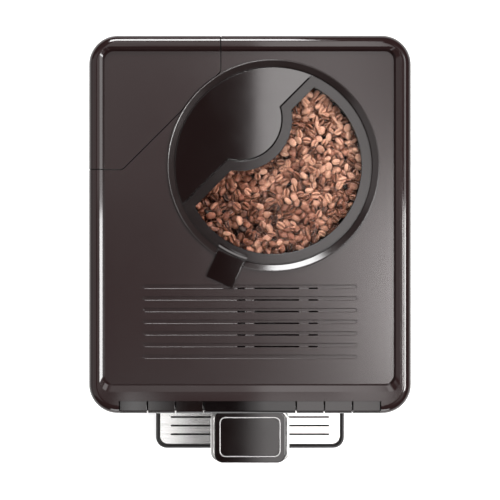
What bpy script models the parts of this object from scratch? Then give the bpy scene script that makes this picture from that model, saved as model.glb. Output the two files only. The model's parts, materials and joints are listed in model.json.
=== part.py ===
"""Bean to cup coffee machine, built piece by piece at its real size.

Metres, +Z up, the front towards -Y, the origin under the middle of the machine on the counter.
"""

import math

import bmesh
import bpy
from mathutils import Matrix, Vector

for old in list(bpy.data.objects):
    bpy.data.objects.remove(old, do_unlink=True)

# Driving sizes of the whole machine
BODY_WIDTH = 0.260
BODY_DEPTH = 0.305
BODY_HEIGHT = 0.350
TRAY_REACH = 0.071
CORNER_RADIUS = 0.0235
WALL = 0.0025
SEAT_GAP = 0.0003
RUN_GAP = 0.0006
SPLIT_GAP = 0.0005
OVERRUN = 0.006
FOOT_HEIGHT = 0.006
LEAST_RADIUS = 0.0003
WELD = 0.000001
ROUND_END_SHARE = 0.49

CORNER_STEPS = 5
ROUND_STEPS = 24
FINE_STEPS = 12
SHARP_ANGLE = math.radians(32)

HALF = BODY_WIDTH / 2
OVERALL_DEPTH = BODY_DEPTH + TRAY_REACH
REAR = OVERALL_DEPTH / 2
FRONT = REAR - BODY_DEPTH
TRAY_FRONT = -OVERALL_DEPTH / 2

# Levels of the casing
BASE_THICKNESS = 0.003
BASE_HEIGHT = 0.014
TOP_SKIRT = 0.024
BASE_BOTTOM = FOOT_HEIGHT
BASE_FLOOR = BASE_BOTTOM + BASE_THICKNESS
BASE_TOP = BASE_BOTTOM + BASE_HEIGHT
PANEL_LOW = BASE_TOP + SEAT_GAP
SKIRT_LOW = BODY_HEIGHT - TOP_SKIRT
PANEL_HIGH = SKIRT_LOW - SEAT_GAP

# Corners of the body's outline: x, y and radius, front left first, then round to the right
BODY = (
    (-HALF, FRONT, CORNER_RADIUS),
    (HALF, FRONT, CORNER_RADIUS),
    (HALF, REAR, CORNER_RADIUS),
    (-HALF, REAR, CORNER_RADIUS),
)

# The water tank's bay in the rear left corner, as the joint between the covers draws it
BAY_FRONT = 0.0795
BAY_CORNER_X = -0.1027
BAY_RIGHT = -0.0235
BAY_BEND_RADIUS = 0.004
BAY_DIAGONAL_REAR = BAY_FRONT + BAY_RIGHT - BAY_CORNER_X
BAY = (
    (-HALF, BAY_FRONT, LEAST_RADIUS),
    (BAY_CORNER_X, BAY_FRONT, BAY_BEND_RADIUS),
    (BAY_RIGHT, BAY_DIAGONAL_REAR, BAY_BEND_RADIUS),
    (BAY_RIGHT, REAR, LEAST_RADIUS),
    (-HALF, REAR, CORNER_RADIUS),
)

# Bean hopper and grinder axes seen from above
HOPPER_X = 0.0187
HOPPER_Y = 0.0827
BEZEL_RADIUS = 0.0855
GRINDER_X = 0.032
GRINDER_Y = 0.068

# Colours are linear, as the shader reads them
BLACK_GLOSS = ("black_gloss_plastic", (0.012, 0.010, 0.010), 0.12, 0.0)
BLACK_MATT = ("black_matt_plastic", (0.030, 0.028, 0.028), 0.5, 0.0)
SILVER_PAINT = ("silver_painted_plastic", (0.60, 0.59, 0.58), 0.28, 0.6)
STEEL = ("brushed_steel", (0.56, 0.55, 0.54), 0.32, 1.0)
CAST_METAL = ("cast_aluminium", (0.50, 0.50, 0.50), 0.45, 1.0)
BRASS = ("brass", (0.60, 0.42, 0.18), 0.3, 1.0)
CERAMIC = ("white_ceramic", (0.78, 0.76, 0.72), 0.35, 0.0)
CLEAR = ("clear_plastic", (0.70, 0.68, 0.66), 0.06, 0.0)
SMOKED = ("smoked_plastic", (0.10, 0.09, 0.09), 0.08, 0.0)
GLASS = ("display_glass", (0.015, 0.014, 0.014), 0.05, 0.0)
RUBBER = ("black_rubber", (0.025, 0.025, 0.025), 0.75, 0.0)
SILICONE = ("white_silicone", (0.72, 0.70, 0.66), 0.5, 0.0)
BEAN_BROWN = ("roasted_beans", (0.16, 0.065, 0.030), 0.4, 0.0)
BOARD_GREEN = ("circuit_board", (0.03, 0.16, 0.06), 0.5, 0.0)
GREY_PLASTIC = ("grey_plastic", (0.22, 0.22, 0.22), 0.45, 0.0)


# Outlines

def moved_edges(corners, shifts):
    """The polygon with each edge moved inwards; edge i runs from corner i to the next one."""
    count = len(corners)
    if not isinstance(shifts, (tuple, list)):
        shifts = [shifts] * count
    lines = []
    for i, (x, y, _) in enumerate(corners):
        end = corners[(i + 1) % count]
        along = Vector((end[0] - x, end[1] - y)).normalized()
        inwards = Vector((-along.y, along.x))
        lines.append((Vector((x, y)) + inwards * shifts[i], along))
    moved = []
    for i, corner in enumerate(corners):
        point, along = lines[i - 1]
        other, other_along = lines[i]
        turn = along.cross(other_along)
        reach = (other - point).cross(other_along) / turn
        meet = point + along * reach
        mean = (shifts[i - 1] + shifts[i]) / 2
        radius = corner[2] - (mean if turn > 0 else -mean)
        moved.append((meet.x, meet.y, max(radius, LEAST_RADIUS)))
    return moved


def rounded(corners, steps=CORNER_STEPS):
    """Points of a polygon given as (x, y, radius) corners, with each corner turned as an arc."""
    points = []
    count = len(corners)
    for i, (x, y, radius) in enumerate(corners):
        corner = Vector((x, y))
        before = (Vector(corners[i - 1][:2]) - corner).normalized()
        after = (Vector(corners[(i + 1) % count][:2]) - corner).normalized()
        half_angle = before.angle(after) / 2
        back = radius / math.tan(half_angle)
        centre = corner + (before + after).normalized() * (radius / math.sin(half_angle))
        start = corner + before * back - centre
        sweep = math.copysign(math.pi - 2 * half_angle, before.cross(after) * -1)
        for step in range(steps + 1):
            turn = Matrix.Rotation(sweep * step / steps, 2)
            points.append(centre + turn @ start)
    return [(point.x, point.y) for point in points]


def rectangle(x_low, x_high, y_low, y_high, radius):
    return (
        (x_low, y_low, radius),
        (x_high, y_low, radius),
        (x_high, y_high, radius),
        (x_low, y_high, radius),
    )


def circle(x, y, radius, steps):
    turns = [2 * math.pi * step / steps for step in range(steps)]
    return [(x + radius * math.cos(turn), y + radius * math.sin(turn)) for turn in turns]


def at_level(outline, z):
    return [(x, y, z) for x, y in outline]


# Shapes

def loft(rings, closed=False):
    """A skin grown ring by ring; its two ends are filled, or joined where it closes on itself."""
    shape = bmesh.new()
    ring = [shape.verts.new(point) for point in rings[0]]
    edges = [shape.edges.new(pair) for pair in zip(ring, ring[1:] + ring[:1])]
    if closed:
        rings = [*rings, rings[0]]
    else:
        shape.faces.new(ring)
    for points in rings[1:]:
        grown = set(bmesh.ops.extrude_edge_only(shape, edges=edges)["geom"])
        following = []
        for vert, point in zip(ring, points):
            ends = [edge.other_vert(vert) for edge in vert.link_edges]
            twin = next(end for end in ends if end in grown)
            twin.co = point
            following.append(twin)
        ring = following
        edges = [shape.edges.get(pair) for pair in zip(ring, ring[1:] + ring[:1])]
    if closed:
        bmesh.ops.remove_doubles(shape, verts=shape.verts, dist=WELD)
    else:
        shape.faces.new(ring)
    return shape


def prism(outline, z_low, z_high):
    return loft([at_level(outline, z_low), at_level(outline, z_high)])


def box(x_span, y_span, z_span):
    corners = rectangle(*x_span, *y_span, 0)
    outline = [(x, y) for x, y, _ in corners]
    return prism(outline, *z_span)


def tube_ring(outline, inner, z_low, z_high):
    """An upright wall between two outlines of as many points."""
    levels = ((outline, z_low), (outline, z_high), (inner, z_high), (inner, z_low))
    return loft([at_level(ring, level) for ring, level in levels], closed=True)


def turned(profile, x, y, steps=ROUND_STEPS, closed=False):
    """A shape turned about an upright axis from (radius, z) points."""
    shape = bmesh.new()
    verts = [shape.verts.new((x + radius, y, z)) for radius, z in profile]
    pairs = list(zip(verts, verts[1:]))
    if closed:
        pairs.append((verts[-1], verts[0]))
    edges = [shape.edges.new(pair) for pair in pairs]
    bmesh.ops.spin(
        shape,
        geom=verts + edges,
        cent=(x, y, 0),
        axis=(0, 0, 1),
        angle=2 * math.pi,
        steps=steps,
        use_merge=True,
    )
    bmesh.ops.remove_doubles(shape, verts=shape.verts, dist=WELD)
    return shape


def rod(start, end, radius, steps=FINE_STEPS):
    """A plain cylinder between two points."""
    start = Vector(start)
    along = Vector(end) - start
    shape = bmesh.new()
    bmesh.ops.create_cone(
        shape,
        cap_ends=True,
        segments=steps,
        radius1=radius,
        radius2=radius,
        depth=along.length,
    )
    turn = along.to_track_quat("Z", "Y").to_matrix().to_4x4()
    shape.transform(Matrix.Translation(start + along / 2) @ turn)
    return shape


def softened(shape, width, chosen):
    """Bevels the edges for which chosen(edge) holds."""
    edges = [edge for edge in shape.edges if chosen(edge)]
    bmesh.ops.bevel(
        shape, geom=edges, offset=width, segments=2, profile=0.5, affect="EDGES", material=-1
    )
    return shape


def upright(edge):
    low, high = edge.verts
    return abs(low.co.x - high.co.x) < WELD and abs(low.co.y - high.co.y) < WELD


# Objects

def finish_of(look):
    name, colour, roughness, metallic = look
    material = bpy.data.materials.get(name)
    if material is None:
        material = bpy.data.materials.new(name)
        material.use_nodes = True
        shader = material.node_tree.nodes["Principled BSDF"]
        shader.inputs["Base Color"].default_value = (*colour, 1)
        shader.inputs["Roughness"].default_value = roughness
        shader.inputs["Metallic"].default_value = metallic
        material.diffuse_color = (*colour, 1)
    return material


def placed(name, shape):
    bmesh.ops.recalc_face_normals(shape, faces=shape.faces)
    if shape.calc_volume(signed=True) < 0:
        bmesh.ops.reverse_faces(shape, faces=shape.faces)
    mesh = bpy.data.meshes.new(name)
    shape.to_mesh(mesh)
    shape.free()
    thing = bpy.data.objects.new(name, mesh)
    bpy.context.scene.collection.objects.link(thing)
    return thing


def piece(name, shape, look, joint=None):
    thing = placed(name, shape)
    thing.data.shade_smooth()
    thing.data.set_sharp_from_angle(angle=SHARP_ANGLE)
    thing.data.materials.append(finish_of(look))
    if joint is not None:
        thing.parent = joint
        thing.matrix_parent_inverse = Matrix.Translation(joint["axis_point"]).inverted()
    return thing


def change(thing, operation, shapes):
    """Cuts, joins or trims a piece with helper shapes that stay hidden."""
    for shape in shapes:
        number = len(thing.modifiers)
        helper = placed(f"{thing.name}_{operation.lower()}_{number}", shape)
        helper.hide_render = True
        helper.display_type = "WIRE"
        step = thing.modifiers.new(f"{operation.lower()}_{number}", "BOOLEAN")
        step.operation = operation
        step.solver = "EXACT"
        step.object = helper
    return thing


def cut(thing, *shapes):
    return change(thing, "DIFFERENCE", shapes)


def fuse(thing, *shapes):
    return change(thing, "UNION", shapes)


def keep(thing, shape):
    return change(thing, "INTERSECT", [shape])


def joint_at(name, point, parent=None):
    """An empty on a joint's axis, which carries the pieces that move about it."""
    empty = bpy.data.objects.new(name, None)
    empty.location = point
    empty["axis_point"] = tuple(point)
    bpy.context.scene.collection.objects.link(empty)
    if parent is not None:
        empty.parent = parent
        empty.matrix_parent_inverse = Matrix.Translation(parent["axis_point"]).inverted()
    return empty


# Casing: base, side panels, rear cover

TRAY_HALF = 0.0963
TRAY_LENGTH = 0.188
TRAY_HEIGHT = 0.0367
TOE_INSET = 0.006
TOE_SETBACK = 0.008
RIM_WALL = 0.003
POST_SIZE = 0.008
POST_INSET = 0.012
FRONT_POST_Y = -0.078
LEFT_POST_Y = 0.064
RIGHT_POST_Y = 0.150
TANK_PAD = 0.010
SHELF_LEVEL = 0.200
SHELF_THICKNESS = 0.003
FASCIA_DEPTH = 0.027
TRAY_LOW = BASE_FLOOR + SEAT_GAP
TRAY_RIM = TRAY_LOW + TRAY_HEIGHT
FASCIA_END = FRONT + FASCIA_DEPTH
TRAY_MOUTH = TRAY_HALF + RUN_GAP
POST_X = HALF - POST_INSET
TANK_PADS = ((BAY_CORNER_X, BAY_DIAGONAL_REAR), (BAY_RIGHT - POST_INSET * 2, REAR - POST_INSET * 2))


def around(centre, size):
    return (centre - size / 2, centre + size / 2)


def base_pan():
    thing = piece("base_pan", prism(rounded(BODY), BASE_BOTTOM, BASE_TOP), BLACK_MATT)
    hollow = prism(rounded(moved_edges(BODY, RIM_WALL)), BASE_FLOOR, BASE_TOP + OVERRUN)
    mouth = box(
        (-TRAY_MOUTH, TRAY_MOUTH),
        (FRONT - OVERRUN, FRONT + CORNER_RADIUS),
        (BASE_FLOOR, BASE_TOP + OVERRUN),
    )
    cut(thing, hollow, mouth)
    toe = rectangle(
        -TRAY_HALF + TOE_INSET,
        TRAY_HALF - TOE_INSET,
        TRAY_FRONT + TOE_SETBACK,
        FRONT + RIM_WALL,
        TOE_INSET,
    )
    fuse(thing, prism(rounded(toe), BASE_BOTTOM, BASE_FLOOR))
    low = BASE_BOTTOM + BASE_THICKNESS / 2
    posts = (
        (-POST_X, FRONT_POST_Y),
        (POST_X, FRONT_POST_Y),
        (-POST_X, LEFT_POST_Y),
        (POST_X, RIGHT_POST_Y),
    )
    for x, y in posts:
        span = (low, SHELF_LEVEL - SEAT_GAP)
        fuse(thing, box(around(x, POST_SIZE), around(y, POST_SIZE), span))
    for x, y in TANK_PADS:
        fuse(thing, box(around(x, TANK_PAD), around(y, TANK_PAD), (low, BASE_TOP)))
    return thing


FOOT_RADIUS = 0.011
FOOT_CHAMFER = 0.0015
FOOT_X = 0.082
FOOT_FRONT_Y = -0.150
FOOT_REAR_Y = 0.150


def feet():
    top = BASE_BOTTOM - SEAT_GAP
    profile = (
        (0, 0),
        (FOOT_RADIUS - FOOT_CHAMFER, 0),
        (FOOT_RADIUS, FOOT_CHAMFER),
        (FOOT_RADIUS - FOOT_CHAMFER, top),
        (0, top),
    )
    places = (
        ("foot_front_left", -FOOT_X, FOOT_FRONT_Y),
        ("foot_front_right", FOOT_X, FOOT_FRONT_Y),
        ("foot_rear_left", -FOOT_X, FOOT_REAR_Y),
        ("foot_rear_right", FOOT_X, FOOT_REAR_Y),
    )
    for name, x, y in places:
        piece(name, turned(profile, x, y, FINE_STEPS), RUBBER)


def casing_wall(z_low, z_high):
    outline = rounded(BODY)
    inner = rounded(moved_edges(BODY, WALL))
    return tube_ring(outline, inner, z_low, z_high)


DOOR_FRONT_Y = -0.020
DOOR_REAR_Y = 0.130
DOOR_LOW = 0.060
DOOR_HIGH = 0.290
DOOR_BEAD = 0.003
PIN_RADIUS = 0.0012
PIN_LUG = 0.010
LUG_DEPTH = 0.0075
DOOR_AXIS_X = HALF - DOOR_BEAD
DOOR_AXIS_Y = DOOR_REAR_Y - DOOR_BEAD - SPLIT_GAP
PARTITION_WALL = 0.0019
SIDE_REAR = BAY_FRONT - SEAT_GAP * 2 - PARTITION_WALL
REAR_CORNER_X = HALF - CORNER_RADIUS


def left_side_panel():
    thing = piece("left_side_panel", casing_wall(PANEL_LOW, PANEL_HIGH), BLACK_GLOSS)
    region = box(
        (-HALF - OVERRUN, -REAR_CORNER_X),
        (FASCIA_END + SEAT_GAP, SIDE_REAR - SEAT_GAP),
        (PANEL_LOW - OVERRUN, PANEL_HIGH + OVERRUN),
    )
    keep(thing, region)


def right_side_panel():
    thing = piece("right_side_panel", casing_wall(PANEL_LOW, PANEL_HIGH), BLACK_GLOSS)
    region = box(
        (REAR_CORNER_X, HALF + OVERRUN),
        (FASCIA_END + SEAT_GAP, REAR + OVERRUN),
        (PANEL_LOW - OVERRUN, PANEL_HIGH + OVERRUN),
    )
    keep(thing, region)
    opening = box(
        (REAR_CORNER_X, HALF + OVERRUN),
        (DOOR_FRONT_Y, DOOR_REAR_Y),
        (DOOR_LOW, DOOR_HIGH),
    )
    cut(thing, opening)
    lug_x = (HALF - LUG_DEPTH, HALF - WALL / 2)
    lug_y = around(DOOR_AXIS_Y, LUG_DEPTH)
    bore = PIN_RADIUS + SEAT_GAP
    for z_low, z_high in ((DOOR_LOW - PIN_LUG, DOOR_LOW), (DOOR_HIGH, DOOR_HIGH + PIN_LUG)):
        fuse(thing, box(lug_x, lug_y, (z_low, z_high)))
    hole = rod(
        (DOOR_AXIS_X, DOOR_AXIS_Y, DOOR_LOW - PIN_LUG - OVERRUN),
        (DOOR_AXIS_X, DOOR_AXIS_Y, DOOR_HIGH + PIN_LUG + OVERRUN),
        bore,
    )
    cut(thing, hole)
    pin = rod(
        (DOOR_AXIS_X, DOOR_AXIS_Y, DOOR_LOW - PIN_LUG),
        (DOOR_AXIS_X, DOOR_AXIS_Y, DOOR_HIGH + PIN_LUG),
        PIN_RADIUS,
    )
    piece("door_hinge_pin", pin, STEEL)


def service_door():
    axis = joint_at("door_axis", (DOOR_AXIS_X, DOOR_AXIS_Y, DOOR_LOW))
    low = DOOR_LOW + SPLIT_GAP
    high = DOOR_HIGH - SPLIT_GAP
    panel = box((HALF - WALL, HALF), (DOOR_FRONT_Y + SPLIT_GAP, DOOR_AXIS_Y), (low, high))
    thing = piece("service_door", panel, BLACK_GLOSS, axis)
    fuse(thing, rod((DOOR_AXIS_X, DOOR_AXIS_Y, low), (DOOR_AXIS_X, DOOR_AXIS_Y, high), DOOR_BEAD))
    hole = rod(
        (DOOR_AXIS_X, DOOR_AXIS_Y, low - OVERRUN),
        (DOOR_AXIS_X, DOOR_AXIS_Y, high + OVERRUN),
        PIN_RADIUS + SEAT_GAP,
    )
    cut(thing, hole)


INLET_X = 0.076
INLET_Z = 0.048
INLET_WIDTH = 0.028
INLET_HEIGHT = 0.024
INLET_LENGTH = 0.022
INLET_WALL = 0.003
INLET_SOCKET_DEPTH = 0.016
INLET_LIP = 0.004
PIN_LENGTH = 0.012
PIN_WIDTH = 0.004
PIN_THICKNESS = 0.002
PIN_PITCH = 0.007
SWITCH_X = 0.038
SWITCH_WIDTH = 0.014
SWITCH_HEIGHT = 0.022
SWITCH_DEPTH = 0.0065
SWITCH_AXLE = 0.0015
SWITCH_AXLE_REACH = 0.003
SWITCH_EDGE_SETBACK = 0.0012
SWITCH_LUG = 0.004
SWITCH_TILT = math.radians(7)
SWITCH_AXIS_Y = REAR - SWITCH_DEPTH
VENT_COUNT = 8
VENT_LENGTH = 0.060
VENT_HEIGHT = 0.0025
VENT_PITCH = 0.007
VENT_LOW = 0.225
VENT_X = 0.040
BOARD_X = 0.070
BOARD_WIDTH = 0.060
BOARD_LOW = 0.085
BOARD_HEIGHT = 0.100
BOARD_THICKNESS = 0.0016
BOARD_STAND = 0.008
BOARD_PART_SHARES = (0.2, 0.5, 0.8)
BOSS = 0.007
REAR_LEFT = BAY_RIGHT + SEAT_GAP * 2 + PARTITION_WALL


def rear_cover():
    thing = piece("rear_cover", casing_wall(PANEL_LOW, PANEL_HIGH), BLACK_MATT)
    region = box(
        (REAR_LEFT + SEAT_GAP, REAR_CORNER_X - SEAT_GAP),
        (REAR - CORNER_RADIUS, REAR + OVERRUN),
        (PANEL_LOW - OVERRUN, PANEL_HIGH + OVERRUN),
    )
    keep(thing, region)
    through = (REAR - CORNER_RADIUS, REAR + OVERRUN)
    for row in range(VENT_COUNT):
        level = VENT_LOW + VENT_PITCH * row
        cut(thing, box(around(VENT_X, VENT_LENGTH), through, (level, level + VENT_HEIGHT)))
    inlet_size = (INLET_WIDTH + SEAT_GAP * 2, INLET_HEIGHT + SEAT_GAP * 2)
    cut(thing, box(around(INLET_X, inlet_size[0]), through, around(INLET_Z, inlet_size[1])))
    switch_size = (SWITCH_WIDTH + RUN_GAP * 2, SWITCH_HEIGHT + RUN_GAP * 2)
    cut(thing, box(around(SWITCH_X, switch_size[0]), through, around(INLET_Z, switch_size[1])))
    lug_y = (SWITCH_AXIS_Y - SWITCH_LUG, REAR - WALL / 2)
    for side in (-1, 1):
        near = SWITCH_X + side * switch_size[0] / 2
        far = near + side * SWITCH_LUG
        lug = box((min(near, far), max(near, far)), lug_y, around(INLET_Z, SWITCH_LUG * 2))
        fuse(thing, lug)
    reach = switch_size[0] / 2 + SWITCH_AXLE_REACH
    hole = rod(
        (SWITCH_X - reach, SWITCH_AXIS_Y, INLET_Z),
        (SWITCH_X + reach, SWITCH_AXIS_Y, INLET_Z),
        SWITCH_AXLE + SEAT_GAP,
    )
    cut(thing, hole)
    boss_y = (REAR - WALL - BOARD_STAND, REAR - WALL / 2)
    for side in (-1, 1):
        x = BOARD_X + side * (BOARD_WIDTH - BOSS) / 2
        for z in (BOARD_LOW + BOSS, BOARD_LOW + BOARD_HEIGHT - BOSS):
            fuse(thing, box(around(x, BOSS), boss_y, around(z, BOSS)))
    board_y = REAR - WALL - BOARD_STAND - SEAT_GAP
    board = box(
        around(BOARD_X, BOARD_WIDTH),
        (board_y - BOARD_THICKNESS, board_y),
        (BOARD_LOW, BOARD_LOW + BOARD_HEIGHT),
    )
    power = piece("power_board", board, BOARD_GREEN)
    parts_y = (board_y - BOARD_THICKNESS - BOARD_STAND, board_y - BOARD_THICKNESS / 2)
    for share in BOARD_PART_SHARES:
        z = BOARD_LOW + BOARD_HEIGHT * share
        fuse(power, box(around(BOARD_X, BOARD_WIDTH * share), parts_y, around(z, BOSS * 2)))


def mains_inlet():
    back = REAR - INLET_LENGTH
    shell = box(around(INLET_X, INLET_WIDTH), (back, REAR), around(INLET_Z, INLET_HEIGHT))
    thing = piece("mains_inlet", softened(shell, INLET_WALL / 2, along_y), BLACK_MATT)
    lip_y = (REAR - WALL - SEAT_GAP - INLET_LIP, REAR - WALL - SEAT_GAP)
    lip_width = INLET_WIDTH + INLET_LIP * 2
    lip_height = INLET_HEIGHT + INLET_LIP * 2
    fuse(thing, box(around(INLET_X, lip_width), lip_y, around(INLET_Z, lip_height)))
    floor = REAR - INLET_SOCKET_DEPTH
    socket = box(
        around(INLET_X, INLET_WIDTH - INLET_WALL * 2),
        (floor, REAR + OVERRUN),
        around(INLET_Z, INLET_HEIGHT - INLET_WALL * 2),
    )
    cut(thing, socket)
    pin_y = (floor - INLET_WALL / 2, floor + PIN_LENGTH)
    for column, row in ((-1, -1), (1, -1), (0, 1)):
        x = INLET_X + PIN_PITCH * column
        z = INLET_Z + PIN_PITCH * row / 2
        fuse(thing, box(around(x, PIN_THICKNESS), pin_y, around(z, PIN_WIDTH)))


def along_y(edge):
    low, high = edge.verts
    return abs(low.co.x - high.co.x) < WELD and abs(low.co.z - high.co.z) < WELD


def power_switch():
    axis = joint_at("switch_axis", (SWITCH_X, SWITCH_AXIS_Y, INLET_Z))
    half = SWITCH_HEIGHT / 2
    rise = SWITCH_DEPTH - SEAT_GAP
    profile = (
        (0, -SWITCH_AXLE * 2),
        (half / 2, -SWITCH_AXLE),
        (half, rise - SWITCH_EDGE_SETBACK * 3),
        (half - SWITCH_EDGE_SETBACK / 2, rise - SWITCH_EDGE_SETBACK),
        (0, rise - SWITCH_EDGE_SETBACK * 2),
        (-half + SWITCH_EDGE_SETBACK / 2, rise - SWITCH_EDGE_SETBACK),
        (-half, rise - SWITCH_EDGE_SETBACK * 3),
        (-half / 2, -SWITCH_AXLE),
    )
    rings = []
    tilt = Matrix.Rotation(SWITCH_TILT, 3, "X")
    for x in around(SWITCH_X, SWITCH_WIDTH):
        rings.append([])
        for height, depth in profile:
            point = tilt @ Vector((0, depth, height))
            rings[-1].append((x, point.y + SWITCH_AXIS_Y, point.z + INLET_Z))
    thing = piece("power_switch", loft(rings), BLACK_GLOSS, axis)
    reach = SWITCH_WIDTH / 2 + RUN_GAP + SWITCH_AXLE_REACH - SEAT_GAP
    axle = rod(
        (SWITCH_X - reach, SWITCH_AXIS_Y, INLET_Z),
        (SWITCH_X + reach, SWITCH_AXIS_Y, INLET_Z),
        SWITCH_AXLE,
    )
    fuse(thing, axle)


# Top cover with its raised rim, recessed panel and vents

STRIP_DEPTH = 0.0105
STRIP_DROP = 0.003
STRIP_RISE = 0.0016
KEY_PITCH = 0.0227
DISPLAY_HALF = 0.0372
KEY_COUNT = 3
STRIP_HALF = DISPLAY_HALF + KEY_PITCH * KEY_COUNT
RIM_SOFT = 0.006
RIM_CHAMFER = 0.0008
RIM_SHOULDER = 0.0030
PANEL_DROP = 0.0045
SLOPE_DROP = 0.0015
RIM_FRONT = 0.0162
RIM_RIGHT = 0.0082
RIM_REAR = 0.0064
RIM_LEFT = 0.0070
SLOPE_STEP = 0.0032
SLOPE_RUN = 0.0046
UNDER_STEP = 0.0016
UNDER_RIM = 0.0075
GROOVE_COUNT = 7
GROOVE_PITCH = 0.0094
GROOVE_FIRST_Y = -0.0166
GROOVE_HEIGHT = 0.0034
GROOVE_HALF = 0.0862
GROOVE_DEPTH = 0.001
SLOT_HEIGHT = 0.0013
SLOT_SPANS = ((-0.0102, -0.0038), (0.0034, 0.0397), (0.0472, 0.0547))
HOPPER_HOLE = 0.0842
PANEL_TOP = BODY_HEIGHT - PANEL_DROP
STRIP_TOP_Y = FRONT + STRIP_DEPTH


def raised(shifts, more):
    return tuple(shift + more for shift in shifts)


def top_shape():
    """The whole top as one shell: skirt, round rim, slope down to the panel, and its underside."""
    inner = (RIM_FRONT, RIM_RIGHT, RIM_REAR, RIM_LEFT)
    top = BODY_HEIGHT
    steps = (
        (PANEL_TOP, raised(inner, SLOPE_RUN)),
        (top - SLOPE_DROP, raised(inner, SLOPE_STEP)),
        (top, inner),
        (top, (RIM_SOFT,) * 4),
        (top - RIM_CHAMFER, (RIM_SHOULDER,) * 4),
        (top - RIM_SHOULDER, (RIM_CHAMFER,) * 4),
        (top - RIM_SOFT, (0,) * 4),
        (SKIRT_LOW, (0,) * 4),
        (SKIRT_LOW, (WALL,) * 4),
        (top - UNDER_RIM, (WALL,) * 4),
        (top - WALL, (RIM_SOFT + UNDER_STEP,) * 4),
        (top - WALL, raised(inner, UNDER_STEP)),
        (PANEL_TOP - WALL, raised(inner, SLOPE_RUN)),
    )
    return loft([at_level(rounded(moved_edges(BODY, shifts)), z) for z, shifts in steps])


def bay_prism(shift):
    outline = rounded(moved_edges(BAY, (shift, shift, shift, -OVERRUN, -OVERRUN)))
    return prism(outline, BASE_TOP, BODY_HEIGHT + OVERRUN)


def grooves():
    """The cutters of the seven shallow grooves, and of the slots along their front edges."""
    for row in range(GROOVE_COUNT):
        front = GROOVE_FIRST_Y - GROOVE_PITCH * row
        radius = GROOVE_HEIGHT * ROUND_END_SHARE
        outline = rectangle(-GROOVE_HALF, GROOVE_HALF, front, front + GROOVE_HEIGHT, radius)
        yield prism(rounded(outline, 3), PANEL_TOP - GROOVE_DEPTH, PANEL_TOP + OVERRUN)
        if row < GROOVE_COUNT - 1:
            for span in SLOT_SPANS:
                z_span = (PANEL_TOP - WALL - OVERRUN, PANEL_TOP + OVERRUN)
                yield box(span, (front, front + SLOT_HEIGHT), z_span)


def top_cover():
    thing = piece("top_cover", top_shape(), BLACK_GLOSS)
    hole = prism(
        circle(HOPPER_X, HOPPER_Y, HOPPER_HOLE, ROUND_STEPS * 2),
        SKIRT_LOW - OVERRUN,
        BODY_HEIGHT + OVERRUN,
    )
    strip = box(
        (-STRIP_HALF, STRIP_HALF),
        (FRONT - OVERRUN, STRIP_TOP_Y),
        (SKIRT_LOW - OVERRUN, BODY_HEIGHT + OVERRUN),
    )
    cut(thing, bay_prism(-SPLIT_GAP / 2), hole, strip, *grooves())


# Water tank, its lid and its bay

TANK_WALL = 0.0025
TANK_FLOOR = 0.003
HINGE_INSET = 0.0025
HINGE_DROP = 0.003
HINGE_LEFT = -0.100
HINGE_RIGHT = -0.050
HINGE_END = 0.006
KNUCKLE_RADIUS = 0.0022
KNUCKLE_ROOM = 0.0032
RAIL_DEPTH = 0.008
RAIL_HEIGHT = 0.010
ARM_FRONT = 0.001
VALVE_X = -0.108
VALVE_Y = 0.100
VALVE_RADIUS = 0.0076
VALVE_STEM = 0.0045
VALVE_LIFT = 0.012
VALVE_HEAD = 0.011
SOCKET_RADIUS = 0.012
SOCKET_WALL = 0.0035
SOCKET_FLOOR = 0.003
SWING_REBATE_DEPTH = 0.0017
SWING_REBATE_HEIGHT = 0.0012
TANK_LOW = PANEL_LOW
RING_TO_BAY = (BAY_FRONT - BAY_CORNER_X - HOPPER_Y + HOPPER_X) / math.sqrt(2)
TANK_DIAGONAL_ROOM = BEZEL_RADIUS + RUN_GAP - RING_TO_BAY
TANK_EDGES = (SEAT_GAP, TANK_DIAGONAL_ROOM, SEAT_GAP, 0, 0)
HINGE_Y = REAR - HINGE_INSET
HINGE_Z = PANEL_HIGH - HINGE_DROP


def tank_partition():
    outer = (-SEAT_GAP - PARTITION_WALL,) * 3 + (0, 0)
    inner = (-SEAT_GAP,) * 3 + (-OVERRUN, -OVERRUN)
    wall = prism(rounded(moved_edges(BAY, outer)), PANEL_LOW, PANEL_HIGH)
    thing = piece("tank_partition", wall, GREY_PLASTIC)
    cut(thing, prism(rounded(moved_edges(BAY, inner)), PANEL_LOW - OVERRUN, PANEL_HIGH + OVERRUN))


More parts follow.
